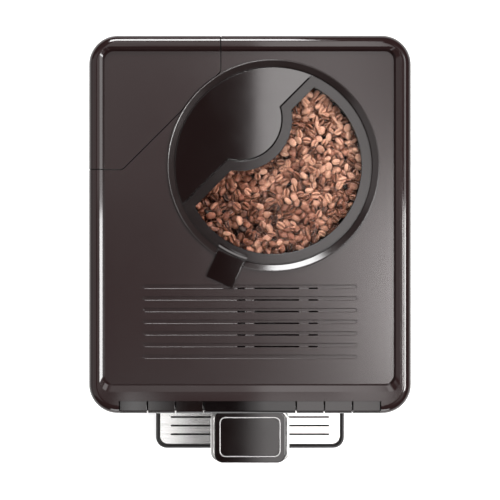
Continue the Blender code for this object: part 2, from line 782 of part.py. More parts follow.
def water_tank():
    lift = joint_at("tank_lift", (VALVE_X, VALVE_Y, TANK_LOW))
    outline = rounded(moved_edges(BAY, TANK_EDGES))
    inner_edges = tuple(edge + TANK_WALL for edge in TANK_EDGES)
    inner = rounded(moved_edges(BAY, inner_edges))
    rings = (
        at_level(inner, TANK_LOW + TANK_FLOOR),
        at_level(inner, PANEL_HIGH),
        at_level(outline, PANEL_HIGH),
        at_level(outline, TANK_LOW),
    )
    thing = piece("water_tank", loft(rings), SMOKED, lift)
    rail = box(
        (HINGE_LEFT - HINGE_END, HINGE_RIGHT + HINGE_END),
        (REAR - RAIL_DEPTH, REAR - TANK_WALL / 2),
        (PANEL_HIGH - RAIL_HEIGHT, PANEL_HIGH),
    )
    fuse(thing, rail)
    notch = box(
        (HINGE_LEFT, HINGE_RIGHT),
        (HINGE_Y - KNUCKLE_ROOM, REAR + OVERRUN),
        (HINGE_Z - KNUCKLE_ROOM, PANEL_HIGH + OVERRUN),
    )
    bore_reach = HINGE_END * 2 / 3
    bore = rod(
        (HINGE_LEFT - bore_reach, HINGE_Y, HINGE_Z),
        (HINGE_RIGHT + bore_reach, HINGE_Y, HINGE_Z),
        PIN_RADIUS + SEAT_GAP,
    )
    drain = rod(
        (VALVE_X, VALVE_Y, TANK_LOW - OVERRUN),
        (VALVE_X, VALVE_Y, TANK_LOW + TANK_FLOOR + OVERRUN),
        VALVE_RADIUS + SEAT_GAP,
    )
    swing_room = box(
        (-HALF - OVERRUN, BAY_RIGHT + OVERRUN),
        (REAR - SWING_REBATE_DEPTH, REAR + OVERRUN),
        (PANEL_HIGH - SWING_REBATE_HEIGHT, PANEL_HIGH + OVERRUN),
    )
    cut(thing, notch, bore, drain, swing_room)
    pin_reach = bore_reach - SEAT_GAP
    pin = rod(
        (HINGE_LEFT - pin_reach, HINGE_Y, HINGE_Z),
        (HINGE_RIGHT + pin_reach, HINGE_Y, HINGE_Z),
        PIN_RADIUS,
    )
    piece("tank_hinge_pin", pin, STEEL, lift)
    socket_top = TANK_LOW - SEAT_GAP * 2
    valve = turned(
        (
            (0, socket_top - VALVE_STEM),
            (VALVE_STEM, socket_top - VALVE_STEM),
            (VALVE_STEM, TANK_LOW),
            (VALVE_RADIUS, TANK_LOW),
            (VALVE_RADIUS, TANK_LOW + VALVE_LIFT),
            (VALVE_STEM, TANK_LOW + VALVE_LIFT + VALVE_STEM),
            (0, TANK_LOW + VALVE_LIFT + VALVE_STEM),
        ),
        VALVE_X,
        VALVE_Y,
        FINE_STEPS,
    )
    piece("tank_valve", valve, GREY_PLASTIC, lift)
    tank_lid(lift)
    tank_socket(socket_top)


def tank_lid(lift):
    axis = joint_at("tank_lid_axis", ((HINGE_LEFT + HINGE_RIGHT) / 2, HINGE_Y, HINGE_Z), lift)
    thing = piece("tank_lid", top_shape(), BLACK_GLOSS, axis)
    keep(thing, bay_prism(SPLIT_GAP / 2))
    ring = prism(
        circle(HOPPER_X, HOPPER_Y, BEZEL_RADIUS + SPLIT_GAP, ROUND_STEPS * 2),
        SKIRT_LOW - OVERRUN,
        BODY_HEIGHT + OVERRUN,
    )
    cut(thing, ring)
    knuckle_x = (HINGE_LEFT + RUN_GAP, HINGE_RIGHT - RUN_GAP)
    arm = box(
        knuckle_x,
        (HINGE_Y - ARM_FRONT, HINGE_Y + KNUCKLE_RADIUS),
        (HINGE_Z, SKIRT_LOW + WALL),
    )
    knuckle = rod(
        (knuckle_x[0], HINGE_Y, HINGE_Z), (knuckle_x[1], HINGE_Y, HINGE_Z), KNUCKLE_RADIUS
    )
    fuse(thing, arm, knuckle)
    bore = rod(
        (HINGE_LEFT - OVERRUN, HINGE_Y, HINGE_Z),
        (HINGE_RIGHT + OVERRUN, HINGE_Y, HINGE_Z),
        PIN_RADIUS + SEAT_GAP,
    )
    cut(thing, bore)


NIPPLE_RADIUS = 0.0035
NIPPLE_LENGTH = 0.006
NIPPLE_RISE = 0.0055


def tank_socket(top):
    low = BASE_FLOOR + SEAT_GAP
    inner = SOCKET_RADIUS - SOCKET_WALL
    profile = (
        (0, low),
        (SOCKET_RADIUS, low),
        (SOCKET_RADIUS, top),
        (inner, top),
        (inner, low + SOCKET_FLOOR),
        (0, low + SOCKET_FLOOR),
    )
    thing = piece("tank_socket", turned(profile, VALVE_X, VALVE_Y, FINE_STEPS), GREY_PLASTIC)
    z = low + NIPPLE_RISE
    start = VALVE_Y - SOCKET_RADIUS + SOCKET_WALL / 2
    end = VALVE_Y - SOCKET_RADIUS - NIPPLE_LENGTH
    fuse(thing, rod((VALVE_X, start, z), (VALVE_X, end, z), NIPPLE_RADIUS))


# Bean hopper, its ring, lid, window and beans

BEZEL_INNER = 0.0796
BEZEL_LEDGE = 0.0765
BEZEL_RISE = 0.0019
BEZEL_SLOPE = 0.0024
BEZEL_LIP = 0.0006
BEZEL_SLEEVE = 0.0052
LID_THICKNESS = 0.0022
LID_SEAT_DROP = 0.0022
SPLIT_OFFSET = 0.0299
BULGE_ALONG = 0.0079
BULGE_OUT = 0.0157
BULGE_RADIUS = 0.0334
BEAN_MARGIN = 0.0084
BEAN_RADIUS = 0.0715
HOPPER_WALL = 0.0022
HOPPER_FLANGE = 0.0830
THROAT_RADIUS = 0.0215
HOPPER_STRAIGHT = 0.022
HOPPER_CONE = 0.028
FLANGE_THICKNESS = 0.0022
TAB_ANGLE = math.radians(-115)
TAB_WIDTH = 0.0232
TAB_REACH = 0.1033
TAB_THICKNESS = 0.0022
TAB_OVERLAP = 0.008
BEAN_DROP = 0.009
BEAN_BUMP = 0.0022
BEAN_RING_SHARES = (1, 0.84, 0.62, 0.4, 0.18)
BEAN_WAVE_SHARES = (2.4, 1.9, 1.1)
HOPPER_POINTS = 40
SPLIT_TURN = math.radians(45)
BEZEL_SEAT = PANEL_TOP + SEAT_GAP
BEZEL_TOP = BEZEL_SEAT + BEZEL_RISE + SEAT_GAP
LEDGE_TOP = PANEL_TOP - LID_SEAT_DROP + SEAT_GAP
LID_LOW = LEDGE_TOP + SEAT_GAP
LID_RADIUS = BEZEL_INNER - RUN_GAP
HOPPER_TOP = PANEL_TOP - BEZEL_SLEEVE - SEAT_GAP
CONE_TOP = HOPPER_TOP - HOPPER_STRAIGHT
THROAT_LEVEL = CONE_TOP - HOPPER_CONE


def tab_box(side_room, z_span):
    """A block along the lid tab's direction, from inside the lid to the tab's end."""
    half = TAB_WIDTH / 2 + side_room
    block = box((BEZEL_INNER - TAB_OVERLAP, TAB_REACH + side_room), (-half, half), z_span)
    turn = Matrix.Translation((HOPPER_X, HOPPER_Y, 0)) @ Matrix.Rotation(TAB_ANGLE, 4, "Z")
    block.transform(turn)
    return block


def hopper_bezel():
    top = BEZEL_TOP
    profile = (
        (BEZEL_LEDGE, HOPPER_TOP + SEAT_GAP),
        (HOPPER_HOLE - SEAT_GAP * 2, HOPPER_TOP + SEAT_GAP),
        (HOPPER_HOLE - SEAT_GAP * 2, BEZEL_SEAT),
        (BEZEL_RADIUS, BEZEL_SEAT),
        (BEZEL_RADIUS, top - BEZEL_LIP),
        (BEZEL_RADIUS - BEZEL_LIP, top),
        (BEZEL_INNER, top - BEZEL_SLOPE),
        (BEZEL_INNER, LEDGE_TOP),
        (BEZEL_LEDGE, LEDGE_TOP),
    )
    ring = turned(profile, HOPPER_X, HOPPER_Y, ROUND_STEPS * 2, closed=True)
    thing = piece("hopper_bezel", ring, SILVER_PAINT)
    cut(thing, tab_box(RUN_GAP, (LEDGE_TOP, BODY_HEIGHT + OVERRUN)))


def split_outline(room):
    """The part of the lid that stays dark: a straight edge with a round bulge towards the middle."""
    far = BEZEL_RADIUS * 2
    radius = BULGE_RADIUS + room
    edge = SPLIT_OFFSET - room
    bulge_v = SPLIT_OFFSET + BULGE_OUT
    drop = bulge_v - edge
    spread = math.acos(drop / radius)
    points = [(-far, far), (-far, edge)]
    for step in range(FINE_STEPS + 1):
        turn = -math.pi / 2 - spread + 2 * spread * step / FINE_STEPS
        points.append((BULGE_ALONG + radius * math.cos(turn), bulge_v + radius * math.sin(turn)))
    points += [(far, edge), (far, far)]
    turn = Matrix.Rotation(SPLIT_TURN, 2)
    placed_points = [turn @ Vector(point) for point in points]
    return [(HOPPER_X + point.x, HOPPER_Y + point.y) for point in placed_points]


def hopper_lid():
    lift = joint_at("hopper_lid_lift", (HOPPER_X, HOPPER_Y, LID_LOW))
    disc = circle(HOPPER_X, HOPPER_Y, LID_RADIUS, ROUND_STEPS * 2)
    top = LID_LOW + LID_THICKNESS
    around_split = (LID_LOW - OVERRUN, top + OVERRUN)
    lid = piece("hopper_lid", prism(disc, LID_LOW, top), BLACK_GLOSS, lift)
    keep(lid, prism(split_outline(0), *around_split))
    window = piece("hopper_window", prism(disc, LID_LOW, top), CLEAR, lift)
    cut(window, prism(split_outline(SEAT_GAP), *around_split))
    fuse(window, tab_box(0, (BEZEL_SEAT, BEZEL_SEAT + TAB_THICKNESS)))


def ray_reach(turn, bean_shape, radius, room):
    """How far a ray from the grinder's axis runs before it meets the hopper's wall."""
    ray = Vector((math.cos(turn), math.sin(turn)))
    start = Vector((GRINDER_X - HOPPER_X, GRINDER_Y - HOPPER_Y))
    back = start.dot(ray)
    reach = -back + math.sqrt(back * back - start.length_squared + radius * radius)
    if not bean_shape:
        return reach
    towards = Vector((-math.sin(SPLIT_TURN), math.cos(SPLIT_TURN)))
    along = Vector((math.cos(SPLIT_TURN), math.sin(SPLIT_TURN)))
    climb = ray.dot(towards)
    if climb > 0:
        reach = min(reach, (SPLIT_OFFSET - room - start.dot(towards)) / climb)
    centre = along * BULGE_ALONG + towards * (SPLIT_OFFSET + BULGE_OUT) - start
    nearest = centre.dot(ray)
    aside = centre.length_squared - nearest * nearest
    round_radius = BULGE_RADIUS + room
    if nearest > 0 and aside < round_radius * round_radius:
        reach = min(reach, nearest - math.sqrt(round_radius * round_radius - aside))
    return reach


def hopper_ring(z, bean_shape, radius, room):
    ring = []
    for step in range(HOPPER_POINTS):
        turn = 2 * math.pi * step / HOPPER_POINTS
        reach = ray_reach(turn, bean_shape, radius, room)
        ring.append((GRINDER_X + reach * math.cos(turn), GRINDER_Y + reach * math.sin(turn), z))
    return ring


def throat_ring(z, radius):
    return at_level(circle(GRINDER_X, GRINDER_Y, radius, HOPPER_POINTS), z)


def bean_hopper():
    flange_low = HOPPER_TOP - FLANGE_THICKNESS
    outer_radius = BEAN_RADIUS + HOPPER_WALL
    outer_room = BEAN_MARGIN - HOPPER_WALL
    low = THROAT_LEVEL - SEAT_GAP
    seat = GRINDER_TOP + SEAT_GAP
    rings = (
        throat_ring(low, THROAT_RADIUS),
        hopper_ring(CONE_TOP, True, BEAN_RADIUS, BEAN_MARGIN),
        hopper_ring(HOPPER_TOP, True, BEAN_RADIUS, BEAN_MARGIN),
        hopper_ring(HOPPER_TOP, False, HOPPER_FLANGE, 0),
        hopper_ring(flange_low, False, HOPPER_FLANGE, 0),
        hopper_ring(flange_low, True, outer_radius, outer_room),
        hopper_ring(CONE_TOP, True, outer_radius, outer_room),
        throat_ring(seat + HOPPER_WALL, THROAT_RADIUS + HOPPER_WALL),
        throat_ring(seat + HOPPER_WALL, GRINDER_RADIUS),
        throat_ring(seat, GRINDER_RADIUS),
        throat_ring(seat, THROAT_RADIUS),
    )
    piece("bean_hopper", loft(rings, closed=True), SMOKED)


def coffee_beans():
    room = BEAN_MARGIN + SEAT_GAP * 2
    radius = BEAN_RADIUS - SEAT_GAP * 2
    top = HOPPER_TOP - BEAN_DROP
    wall = hopper_ring(top, True, radius, room)
    rings = [
        throat_ring(THROAT_LEVEL, THROAT_RADIUS - SEAT_GAP * 2),
        hopper_ring(CONE_TOP, True, radius, room),
    ]
    fast, drift, slow = BEAN_WAVE_SHARES
    for ring, share in enumerate(BEAN_RING_SHARES):
        bumps = []
        for step, (x, y, z) in enumerate(wall):
            lump = BEAN_BUMP * (math.sin(step * fast + ring * drift) + math.cos(step * slow - ring))
            x = GRINDER_X + (x - GRINDER_X) * share
            y = GRINDER_Y + (y - GRINDER_Y) * share
            bumps.append((x, y, z + lump / 2))
        rings.append(bumps)
    piece("coffee_beans", loft(rings), BEAN_BROWN)


# Front: fascia, display, keys and their board

RECESS_HALF = 0.098
RECESS_TOP = 0.255
RECESS_DEPTH = 0.022
POCKET_DEPTH = 0.0055
POCKET_WALL = 0.0025
KEY_THICKNESS = 0.0035
KEY_STEM = 0.003
KEY_STEM_REACH = 0.0006
KEY_EDGE = 0.0005
CROWN_RADIUS = 0.0028
CROWN_FALL = 0.0004
CROWN_STEPS = 3
CONTROL_STAND = 0.0017
CONTROL_STAND_WIDTH = 0.004
CONTROL_BOARD = 0.0016
POCKET_TAIL = 0.0072
BIN_HALF = 0.062
BIN_TOP = 0.130
RAIL_HALF = 0.018
RAIL_TOP = 0.312
RAIL_LOW = 0.150
RAIL_SETBACK = 0.0003
GROOVE_WIDTH = 0.012
RAIL_GROOVE = 0.010
TONGUE_TOP = 0.284
RECESS_BACK = FRONT + RECESS_DEPTH
STRIP_TOP = BODY_HEIGHT - STRIP_DROP
STRIP_LOW = PANEL_HIGH + STRIP_RISE
STRIP_FALL = STRIP_TOP - STRIP_LOW
STRIP_LENGTH = math.hypot(STRIP_FALL, STRIP_DEPTH)


def strip_frame():
    """Axes of the sloping control strip: along x, down the slope, and inwards."""
    down = Vector((0, -STRIP_DEPTH, -STRIP_FALL)) / STRIP_LENGTH
    across = Vector((1, 0, 0))
    inwards = across.cross(down)
    frame = Matrix((across, down, inwards)).transposed().to_4x4()
    return Matrix.Translation((0, STRIP_TOP_Y, STRIP_TOP)) @ frame


def on_strip(shape):
    shape.transform(strip_frame())
    return shape


def front_fascia():
    thing = piece("front_fascia", casing_wall(PANEL_LOW, PANEL_HIGH), BLACK_GLOSS)
    tall = (PANEL_LOW - OVERRUN, PANEL_HIGH + OVERRUN)
    keep(thing, box((-HALF - OVERRUN, HALF + OVERRUN), (FRONT - OVERRUN, FASCIA_END), tall))
    block = box(
        (-RECESS_HALF - WALL, RECESS_HALF + WALL),
        (FRONT + WALL / 2, RECESS_BACK + WALL),
        (PANEL_LOW, RECESS_TOP + WALL),
    )
    pocket_floor = on_strip(
        box(
            (-STRIP_HALF + SEAT_GAP, STRIP_HALF - SEAT_GAP),
            (KEY_EDGE, STRIP_LENGTH + POCKET_TAIL),
            (POCKET_DEPTH, POCKET_DEPTH + POCKET_WALL),
        )
    )
    fuse(thing, block, pocket_floor)
    floor_back = POCKET_DEPTH + POCKET_WALL
    for side in (-1, 1):
        edge = side * (STRIP_HALF - SEAT_GAP)
        inner = edge - side * CONTROL_STAND_WIDTH
        stand = box(
            (min(edge, inner), max(edge, inner)),
            (KEY_EDGE * 2, STRIP_LENGTH - KEY_EDGE * 2),
            (floor_back - POCKET_WALL / 2, floor_back + CONTROL_STAND),
        )
        fuse(thing, on_strip(stand))
    recess = box(
        (-RECESS_HALF, RECESS_HALF),
        (FRONT - OVERRUN, RECESS_BACK),
        (PANEL_LOW - OVERRUN, RECESS_TOP),
    )
    past_back = (FRONT - OVERRUN, RECESS_BACK + WALL + OVERRUN)
    tray_hole = box(
        (-TRAY_MOUTH, TRAY_MOUTH), past_back, (PANEL_LOW - OVERRUN, TRAY_RIM + RUN_GAP)
    )
    bin_mouth = BIN_HALF + RUN_GAP
    bin_hole = box((-bin_mouth, bin_mouth), past_back, (PANEL_LOW, BIN_TOP + RUN_GAP))
    rail_hole = box(
        (-RAIL_HALF - SEAT_GAP, RAIL_HALF + SEAT_GAP),
        (FRONT + WALL, RECESS_BACK),
        (RECESS_TOP - OVERRUN, RECESS_TOP + WALL + OVERRUN),
    )
    slot_half = GROOVE_WIDTH / 2
    slot = box(
        (-slot_half, slot_half),
        (FRONT - OVERRUN, FRONT + WALL + OVERRUN / 2),
        (RECESS_TOP - OVERRUN, TONGUE_TOP + RUN_GAP),
    )
    cut(thing, recess, tray_hole, bin_hole, rail_hole, slot)
    for x in key_places():
        hole = rod(
            (x, STRIP_LENGTH / 2, POCKET_DEPTH - OVERRUN / 2),
            (x, STRIP_LENGTH / 2, floor_back + OVERRUN / 2),
            KEY_STEM + SEAT_GAP,
        )
        cut(thing, on_strip(hole))


def key_places():
    """Middles of the keys along the strip, left to right."""
    first = DISPLAY_HALF + KEY_PITCH / 2
    right = [first + KEY_PITCH * number for number in range(KEY_COUNT)]
    return [-x for x in reversed(right)] + right


def crowned(x_span, depth):
    """A cap on the strip: flat back along the slope, nearly level top and rounded front edge."""
    places = ((KEY_EDGE, 0), (KEY_EDGE, depth), (STRIP_LENGTH - KEY_EDGE, depth))
    corners = [strip_frame() @ Vector((0, down, inwards)) for down, inwards in places]
    corners.append(strip_frame() @ Vector((0, STRIP_LENGTH - KEY_EDGE, 0)))
    outline = [(corner.y, corner.z) for corner in corners]
    outline.append((FRONT, corners[-1].z + KEY_EDGE))
    middle_y = FRONT + CROWN_RADIUS
    middle_z = STRIP_TOP - CROWN_FALL - CROWN_RADIUS
    for step in range(CROWN_STEPS + 1):
        turn = math.pi / 2 * step / CROWN_STEPS
        y = middle_y - CROWN_RADIUS * math.cos(turn)
        outline.append((y, middle_z + CROWN_RADIUS * math.sin(turn)))
    outline.append((STRIP_TOP_Y - KEY_EDGE / 2, STRIP_TOP))
    cap = prism(outline[::-1], *x_span)
    cap.transform(Matrix(((0, 0, 1, 0), (1, 0, 0, 0), (0, 1, 0, 0), (0, 0, 0, 1))))
    return cap


def controls():
    for number, x in enumerate(key_places(), 1):
        centre = strip_frame() @ Vector((x, STRIP_LENGTH / 2, 0))
        travel = joint_at(f"key_{number}_travel", centre)
        cap = crowned(around(x, KEY_PITCH - KEY_EDGE * 2), KEY_THICKNESS)
        stem = rod(
            (x, STRIP_LENGTH / 2, KEY_THICKNESS / 2),
            (x, STRIP_LENGTH / 2, POCKET_DEPTH + POCKET_WALL + KEY_STEM_REACH),
            KEY_STEM,
        )
        fuse(piece(f"key_{number}", cap, BLACK_GLOSS, travel), on_strip(stem))
    pane_x = (-DISPLAY_HALF + KEY_EDGE, DISPLAY_HALF - KEY_EDGE)
    piece("display_window", crowned(pane_x, POCKET_DEPTH - SEAT_GAP), GLASS)
    board_top = POCKET_DEPTH + POCKET_WALL + CONTROL_STAND + SEAT_GAP
    board = box(
        (-STRIP_HALF + SPLIT_GAP, STRIP_HALF - SPLIT_GAP),
        (KEY_EDGE * 2, STRIP_LENGTH - KEY_EDGE * 2),
        (board_top, board_top + CONTROL_BOARD),
    )
    piece("control_board", on_strip(board), BOARD_GREEN)


# Height adjustable spout

SPOUT_FRONT = -0.1652
CAP_HALF = 0.0302
SPOUT_HALF = 0.0335
SPOUT_LOW = 0.240
SPOUT_TOP = 0.292
CAP_THICKNESS = 0.0055
CAP_RADIUS = 0.0073
CAP_BEVEL = 0.0045
CAP_DIP = 0.0008
CAP_DIP_STEP = 0.001
SPOUT_WALL = 0.0022
CARRIAGE_HALF = 0.024
CARRIAGE_THICKNESS = 0.0034
TONGUE_LENGTH = 0.034
NOZZLE_SPREAD = 0.0125
NOZZLE_RADIUS = 0.0052
NOZZLE_BORE = 0.002
NOZZLE_LOW = 0.230
NOZZLE_BLOCK_HEIGHT = 0.022
NOZZLE_BLOCK_HALF = 0.024
NOZZLE_BLOCK_DEPTH = 0.020
CARRIAGE_BACK = FRONT - RUN_GAP
CARRIAGE_FRONT = CARRIAGE_BACK - CARRIAGE_THICKNESS
SPOUT_BACK = CARRIAGE_FRONT - SEAT_GAP
CAP_LOW = SPOUT_TOP - CAP_THICKNESS


def spout_rail():
    front = FRONT + WALL + RAIL_SETBACK
    back = RECESS_BACK - SEAT_GAP
    block = box((-RAIL_HALF, RAIL_HALF), (front, back), (RAIL_LOW, RAIL_TOP))
    thing = piece("spout_rail", softened(block, RUN_GAP, upright), BLACK_MATT)
    half = GROOVE_WIDTH / 2
    groove = box(
        (-half, half),
        (front - OVERRUN, front + RAIL_GROOVE),
        (RAIL_LOW + WALL, RAIL_TOP + OVERRUN),
    )
    cut(thing, groove)


def spout():
    slide = joint_at("spout_slide", (0, CARRIAGE_FRONT, SPOUT_LOW))
    plate_z = (SPOUT_LOW + WALL, CAP_LOW - SEAT_GAP)
    plate = box((-CARRIAGE_HALF, CARRIAGE_HALF), (CARRIAGE_FRONT, CARRIAGE_BACK), plate_z)
    carriage = piece("spout_carriage", plate, BLACK_MATT, slide)
    half = GROOVE_WIDTH / 2 - SEAT_GAP
    tongue_back = FRONT + WALL + RAIL_SETBACK + RAIL_GROOVE - SEAT_GAP
    tongue = box(
        (-half, half),
        (CARRIAGE_FRONT + WALL / 2, tongue_back),
        (TONGUE_TOP - TONGUE_LENGTH, TONGUE_TOP),
    )
    fuse(carriage, tongue)
    shell = rectangle(
        -SPOUT_HALF, SPOUT_HALF, SPOUT_FRONT, SPOUT_BACK, CAP_RADIUS
    )
    wall = tube_ring(
        rounded(shell), rounded(moved_edges(shell, SPOUT_WALL)), SPOUT_LOW, CAP_LOW - SEAT_GAP
    )
    piece("spout_housing", wall, SILVER_PAINT, slide)
    cap = rectangle(-CAP_HALF, CAP_HALF, SPOUT_FRONT, SPOUT_BACK, CAP_RADIUS)
    steps = (
        (CAP_LOW, 0),
        (SPOUT_TOP - CAP_BEVEL / 2, 0),
        (SPOUT_TOP - CAP_DIP, CAP_BEVEL / 2),
        (SPOUT_TOP, CAP_BEVEL),
        (SPOUT_TOP - CAP_DIP, CAP_BEVEL + CAP_DIP_STEP),
    )
    lid = loft([at_level(rounded(moved_edges(cap, inset)), z) for z, inset in steps])
    piece("spout_cap", lid, BLACK_GLOSS, slide)
    middle = (SPOUT_FRONT + SPOUT_BACK) / 2
    top = CAP_LOW - SEAT_GAP
    block = box(
        (-NOZZLE_BLOCK_HALF, NOZZLE_BLOCK_HALF),
        around(middle, NOZZLE_BLOCK_DEPTH),
        (top - NOZZLE_BLOCK_HEIGHT, top),
    )
    nozzles = piece("spout_nozzles", softened(block, WALL, upright), STEEL, slide)
    for side in (-1, 1):
        x = NOZZLE_SPREAD * side
        fuse(nozzles, rod((x, middle, NOZZLE_LOW), (x, middle, top - WALL), NOZZLE_RADIUS))
    for side in (-1, 1):
        x = NOZZLE_SPREAD * side
        bore_top = top - NOZZLE_BLOCK_HEIGHT / 2
        bore = rod((x, middle, NOZZLE_LOW - OVERRUN), (x, middle, bore_top), NOZZLE_BORE)
        cut(nozzles, bore)


# Drip tray, its grid and the grounds bin

TRAY_CORNER = 0.011
TRAY_WALL = 0.0025
TRAY_LEDGE = 0.002
TRAY_FLOOR = 0.003
GRID_THICKNESS = 0.0015
GRID_DROP = 0.0012
GRID_REAR = 0.0995
SLOT_ROWS = 9
SLOT_ROW_PITCH = 0.0088
SLOT_FIRST = 0.014
TRAY_SLOT = 0.0019
SLOT_MARGIN = 0.0148
SLOT_INNER = 0.0055
RIB_THICKNESS = 0.003
FRONT_RIB = 0.0900
REAR_RIB_INSET = 0.030
BIN_WALL = 0.002
BIN_LENGTH = 0.091
BIN_TAPER = 0.003
BIN_GRIP_RADIUS = 0.014
BIN_GRIP_DEPTH = 0.010
BIN_FRONT_WALL = 0.004
TRAY_BACK = TRAY_FRONT + TRAY_LENGTH
GRID_TOP = TRAY_RIM - GRID_DROP
GRID_LOW = GRID_TOP - GRID_THICKNESS
LEDGE_LEVEL = GRID_LOW - SEAT_GAP
BIN_LOW = TRAY_RIM + SEAT_GAP


def drip_tray():
    slide = joint_at("tray_slide", (0, TRAY_FRONT, TRAY_LOW))
    outline = rectangle(-TRAY_HALF, TRAY_HALF, TRAY_FRONT, TRAY_BACK, TRAY_CORNER)
    steps = (
        (TRAY_LOW + TRAY_FLOOR, TRAY_WALL + TRAY_LEDGE),
        (LEDGE_LEVEL, TRAY_WALL + TRAY_LEDGE),
        (LEDGE_LEVEL, TRAY_WALL),
        (TRAY_RIM, TRAY_WALL),
        (TRAY_RIM, 0),
        (TRAY_LOW + TRAY_FLOOR, 0),
        (TRAY_LOW, TRAY_WALL),
    )
    basin = loft([at_level(rounded(moved_edges(outline, inset)), z) for z, inset in steps])
    thing = piece("drip_tray", basin, BLACK_GLOSS, slide)
    rib_x = (-TRAY_HALF + TRAY_WALL, TRAY_HALF - TRAY_WALL)
    for place in (FRONT_RIB, TRAY_LENGTH - REAR_RIB_INSET):
        rib_y = (TRAY_FRONT + place, TRAY_FRONT + place + RIB_THICKNESS)
        fuse(thing, box(rib_x, rib_y, (TRAY_LOW + TRAY_FLOOR / 2, TRAY_RIM)))
    drip_grid(slide)
    grounds_bin(slide)


def drip_grid(slide):
    lift = joint_at("grid_lift", (0, TRAY_FRONT, GRID_LOW), slide)
    edge = TRAY_WALL + SEAT_GAP
    rear = TRAY_FRONT + FRONT_RIB - SEAT_GAP
    radius = TRAY_CORNER - edge
    plate = (
        (-TRAY_HALF + edge, TRAY_FRONT + edge, radius),
        (TRAY_HALF - edge, TRAY_FRONT + edge, radius),
        (TRAY_HALF - edge, rear, LEAST_RADIUS),
        (-TRAY_HALF + edge, rear, LEAST_RADIUS),
    )
    thing = piece("drip_grid", prism(rounded(plate), GRID_LOW, GRID_TOP), STEEL, lift)
    z_span = (GRID_LOW - OVERRUN, GRID_TOP + OVERRUN)
    for row in range(SLOT_ROWS):
        y = TRAY_FRONT + SLOT_FIRST + SLOT_ROW_PITCH * row
        for side in (-1, 1):
            ends = sorted((side * SLOT_INNER, side * (TRAY_HALF - SLOT_MARGIN)))
            slot = rectangle(*ends, *around(y, TRAY_SLOT), TRAY_SLOT * ROUND_END_SHARE)
            cut(thing, prism(rounded(slot, 1), *z_span))


def grounds_bin(slide):
    out = joint_at("bin_slide", (0, RECESS_BACK, BIN_LOW), slide)
    rear = RECESS_BACK + BIN_LENGTH
    outline = rectangle(-BIN_HALF, BIN_HALF, RECESS_BACK, rear, TRAY_LEDGE)
    taper = (0, BIN_TAPER, BIN_TAPER, BIN_TAPER)
    low = moved_edges(outline, taper)
    walls = (BIN_FRONT_WALL, BIN_WALL, BIN_WALL, BIN_WALL)
    inner_low = tuple(wall + extra for wall, extra in zip(walls, taper))
    rings = (
        at_level(rounded(moved_edges(outline, inner_low), 2), BIN_LOW + BIN_WALL),
        at_level(rounded(moved_edges(outline, walls), 2), BIN_TOP),
        at_level(rounded(outline, 2), BIN_TOP),
        at_level(rounded(low, 2), BIN_LOW),
    )
    thing = piece("grounds_bin", loft(rings), BLACK_MATT, out)
    grip_z = BIN_LOW + BIN_GRIP_RADIUS * 2
    grip = rod(
        (-BIN_HALF / 2, RECESS_BACK - BIN_GRIP_DEPTH, grip_z),
        (BIN_HALF / 2, RECESS_BACK - BIN_GRIP_DEPTH, grip_z),
        BIN_GRIP_DEPTH + BIN_WALL,
    )
    cut(thing, grip)


# Shelf over the brew unit

SHELF_BACK_RIGHT = 0.0204
HOSE_X = VALVE_X
OUTLET_Y = 0.015
HOSE_HOLE = 0.0055
CHUTE_LENGTH = 0.018
CHUTE_WIDTH = 0.026
CHUTE_WALL = 0.0015
CHUTE_Y = 0.028


def mid_shelf():
    bay_edge = -SEAT_GAP * 2 - PARTITION_WALL
    plan = (
        (-HALF, FASCIA_END, LEAST_RADIUS),
        (HALF, FASCIA_END, LEAST_RADIUS),
        (HALF, REAR, CORNER_RADIUS),
        (BAY_RIGHT, REAR, LEAST_RADIUS),
        (BAY_RIGHT, BAY_DIAGONAL_REAR, BAY_BEND_RADIUS),
        (BAY_CORNER_X, BAY_FRONT, BAY_BEND_RADIUS),
        (-HALF, BAY_FRONT, LEAST_RADIUS),
    )
    door_room = DOOR_BEAD * 2 + RUN_GAP
    shifts = (0, door_room, WALL + SEAT_GAP, -bay_edge, -bay_edge, -bay_edge, WALL + SEAT_GAP)
    outline = rounded(moved_edges(plan, shifts))
    top = SHELF_LEVEL + SHELF_THICKNESS
    thing = piece("mid_shelf", prism(outline, SHELF_LEVEL, top), GREY_PLASTIC)
    hose_hole = rod(
        (HOSE_X, OUTLET_Y, SHELF_LEVEL - OVERRUN), (HOSE_X, OUTLET_Y, top + OVERRUN), HOSE_HOLE
    )
    chute_hole = box(
        around(GRINDER_X, CHUTE_WIDTH + SEAT_GAP * 2),
        around(CHUTE_Y, CHUTE_LENGTH + SEAT_GAP * 2),
        (SHELF_LEVEL - OVERRUN, top + OVERRUN),
    )
    cut(thing, hose_hole, chute_hole)


# Grinder

GRINDER_RADIUS = 0.038
MOTOR_RADIUS = 0.030
MOTOR_HEIGHT = 0.046
HOUSING_FLOOR = 0.0035
HOUSING_WALL = 0.0065
BURR_RADIUS = 0.024
BURR_TIP = 0.0105
BURR_HEIGHT = 0.018
BURR_CLEARANCE = 0.0015
BURR_LIFT = 0.003
BURR_SHAFT = 0.004
BURR_LOBES = 8
BURR_LOBE_DEPTH = 0.0009
BURR_RINGS = 6
BURR_TWIST = math.radians(70)
UPPER_BURR_STEP = 0.0035
MOTOR_LOW = SHELF_LEVEL + SHELF_THICKNESS + SEAT_GAP
MOTOR_TOP = MOTOR_LOW + MOTOR_HEIGHT
HOUSING_LOW = MOTOR_TOP + SEAT_GAP
GRINDER_TOP = THROAT_LEVEL - SEAT_GAP * 2 - HOPPER_WALL
HOUSING_INNER = GRINDER_RADIUS - HOUSING_WALL
BURR_LOW = HOUSING_LOW + HOUSING_FLOOR + BURR_LIFT


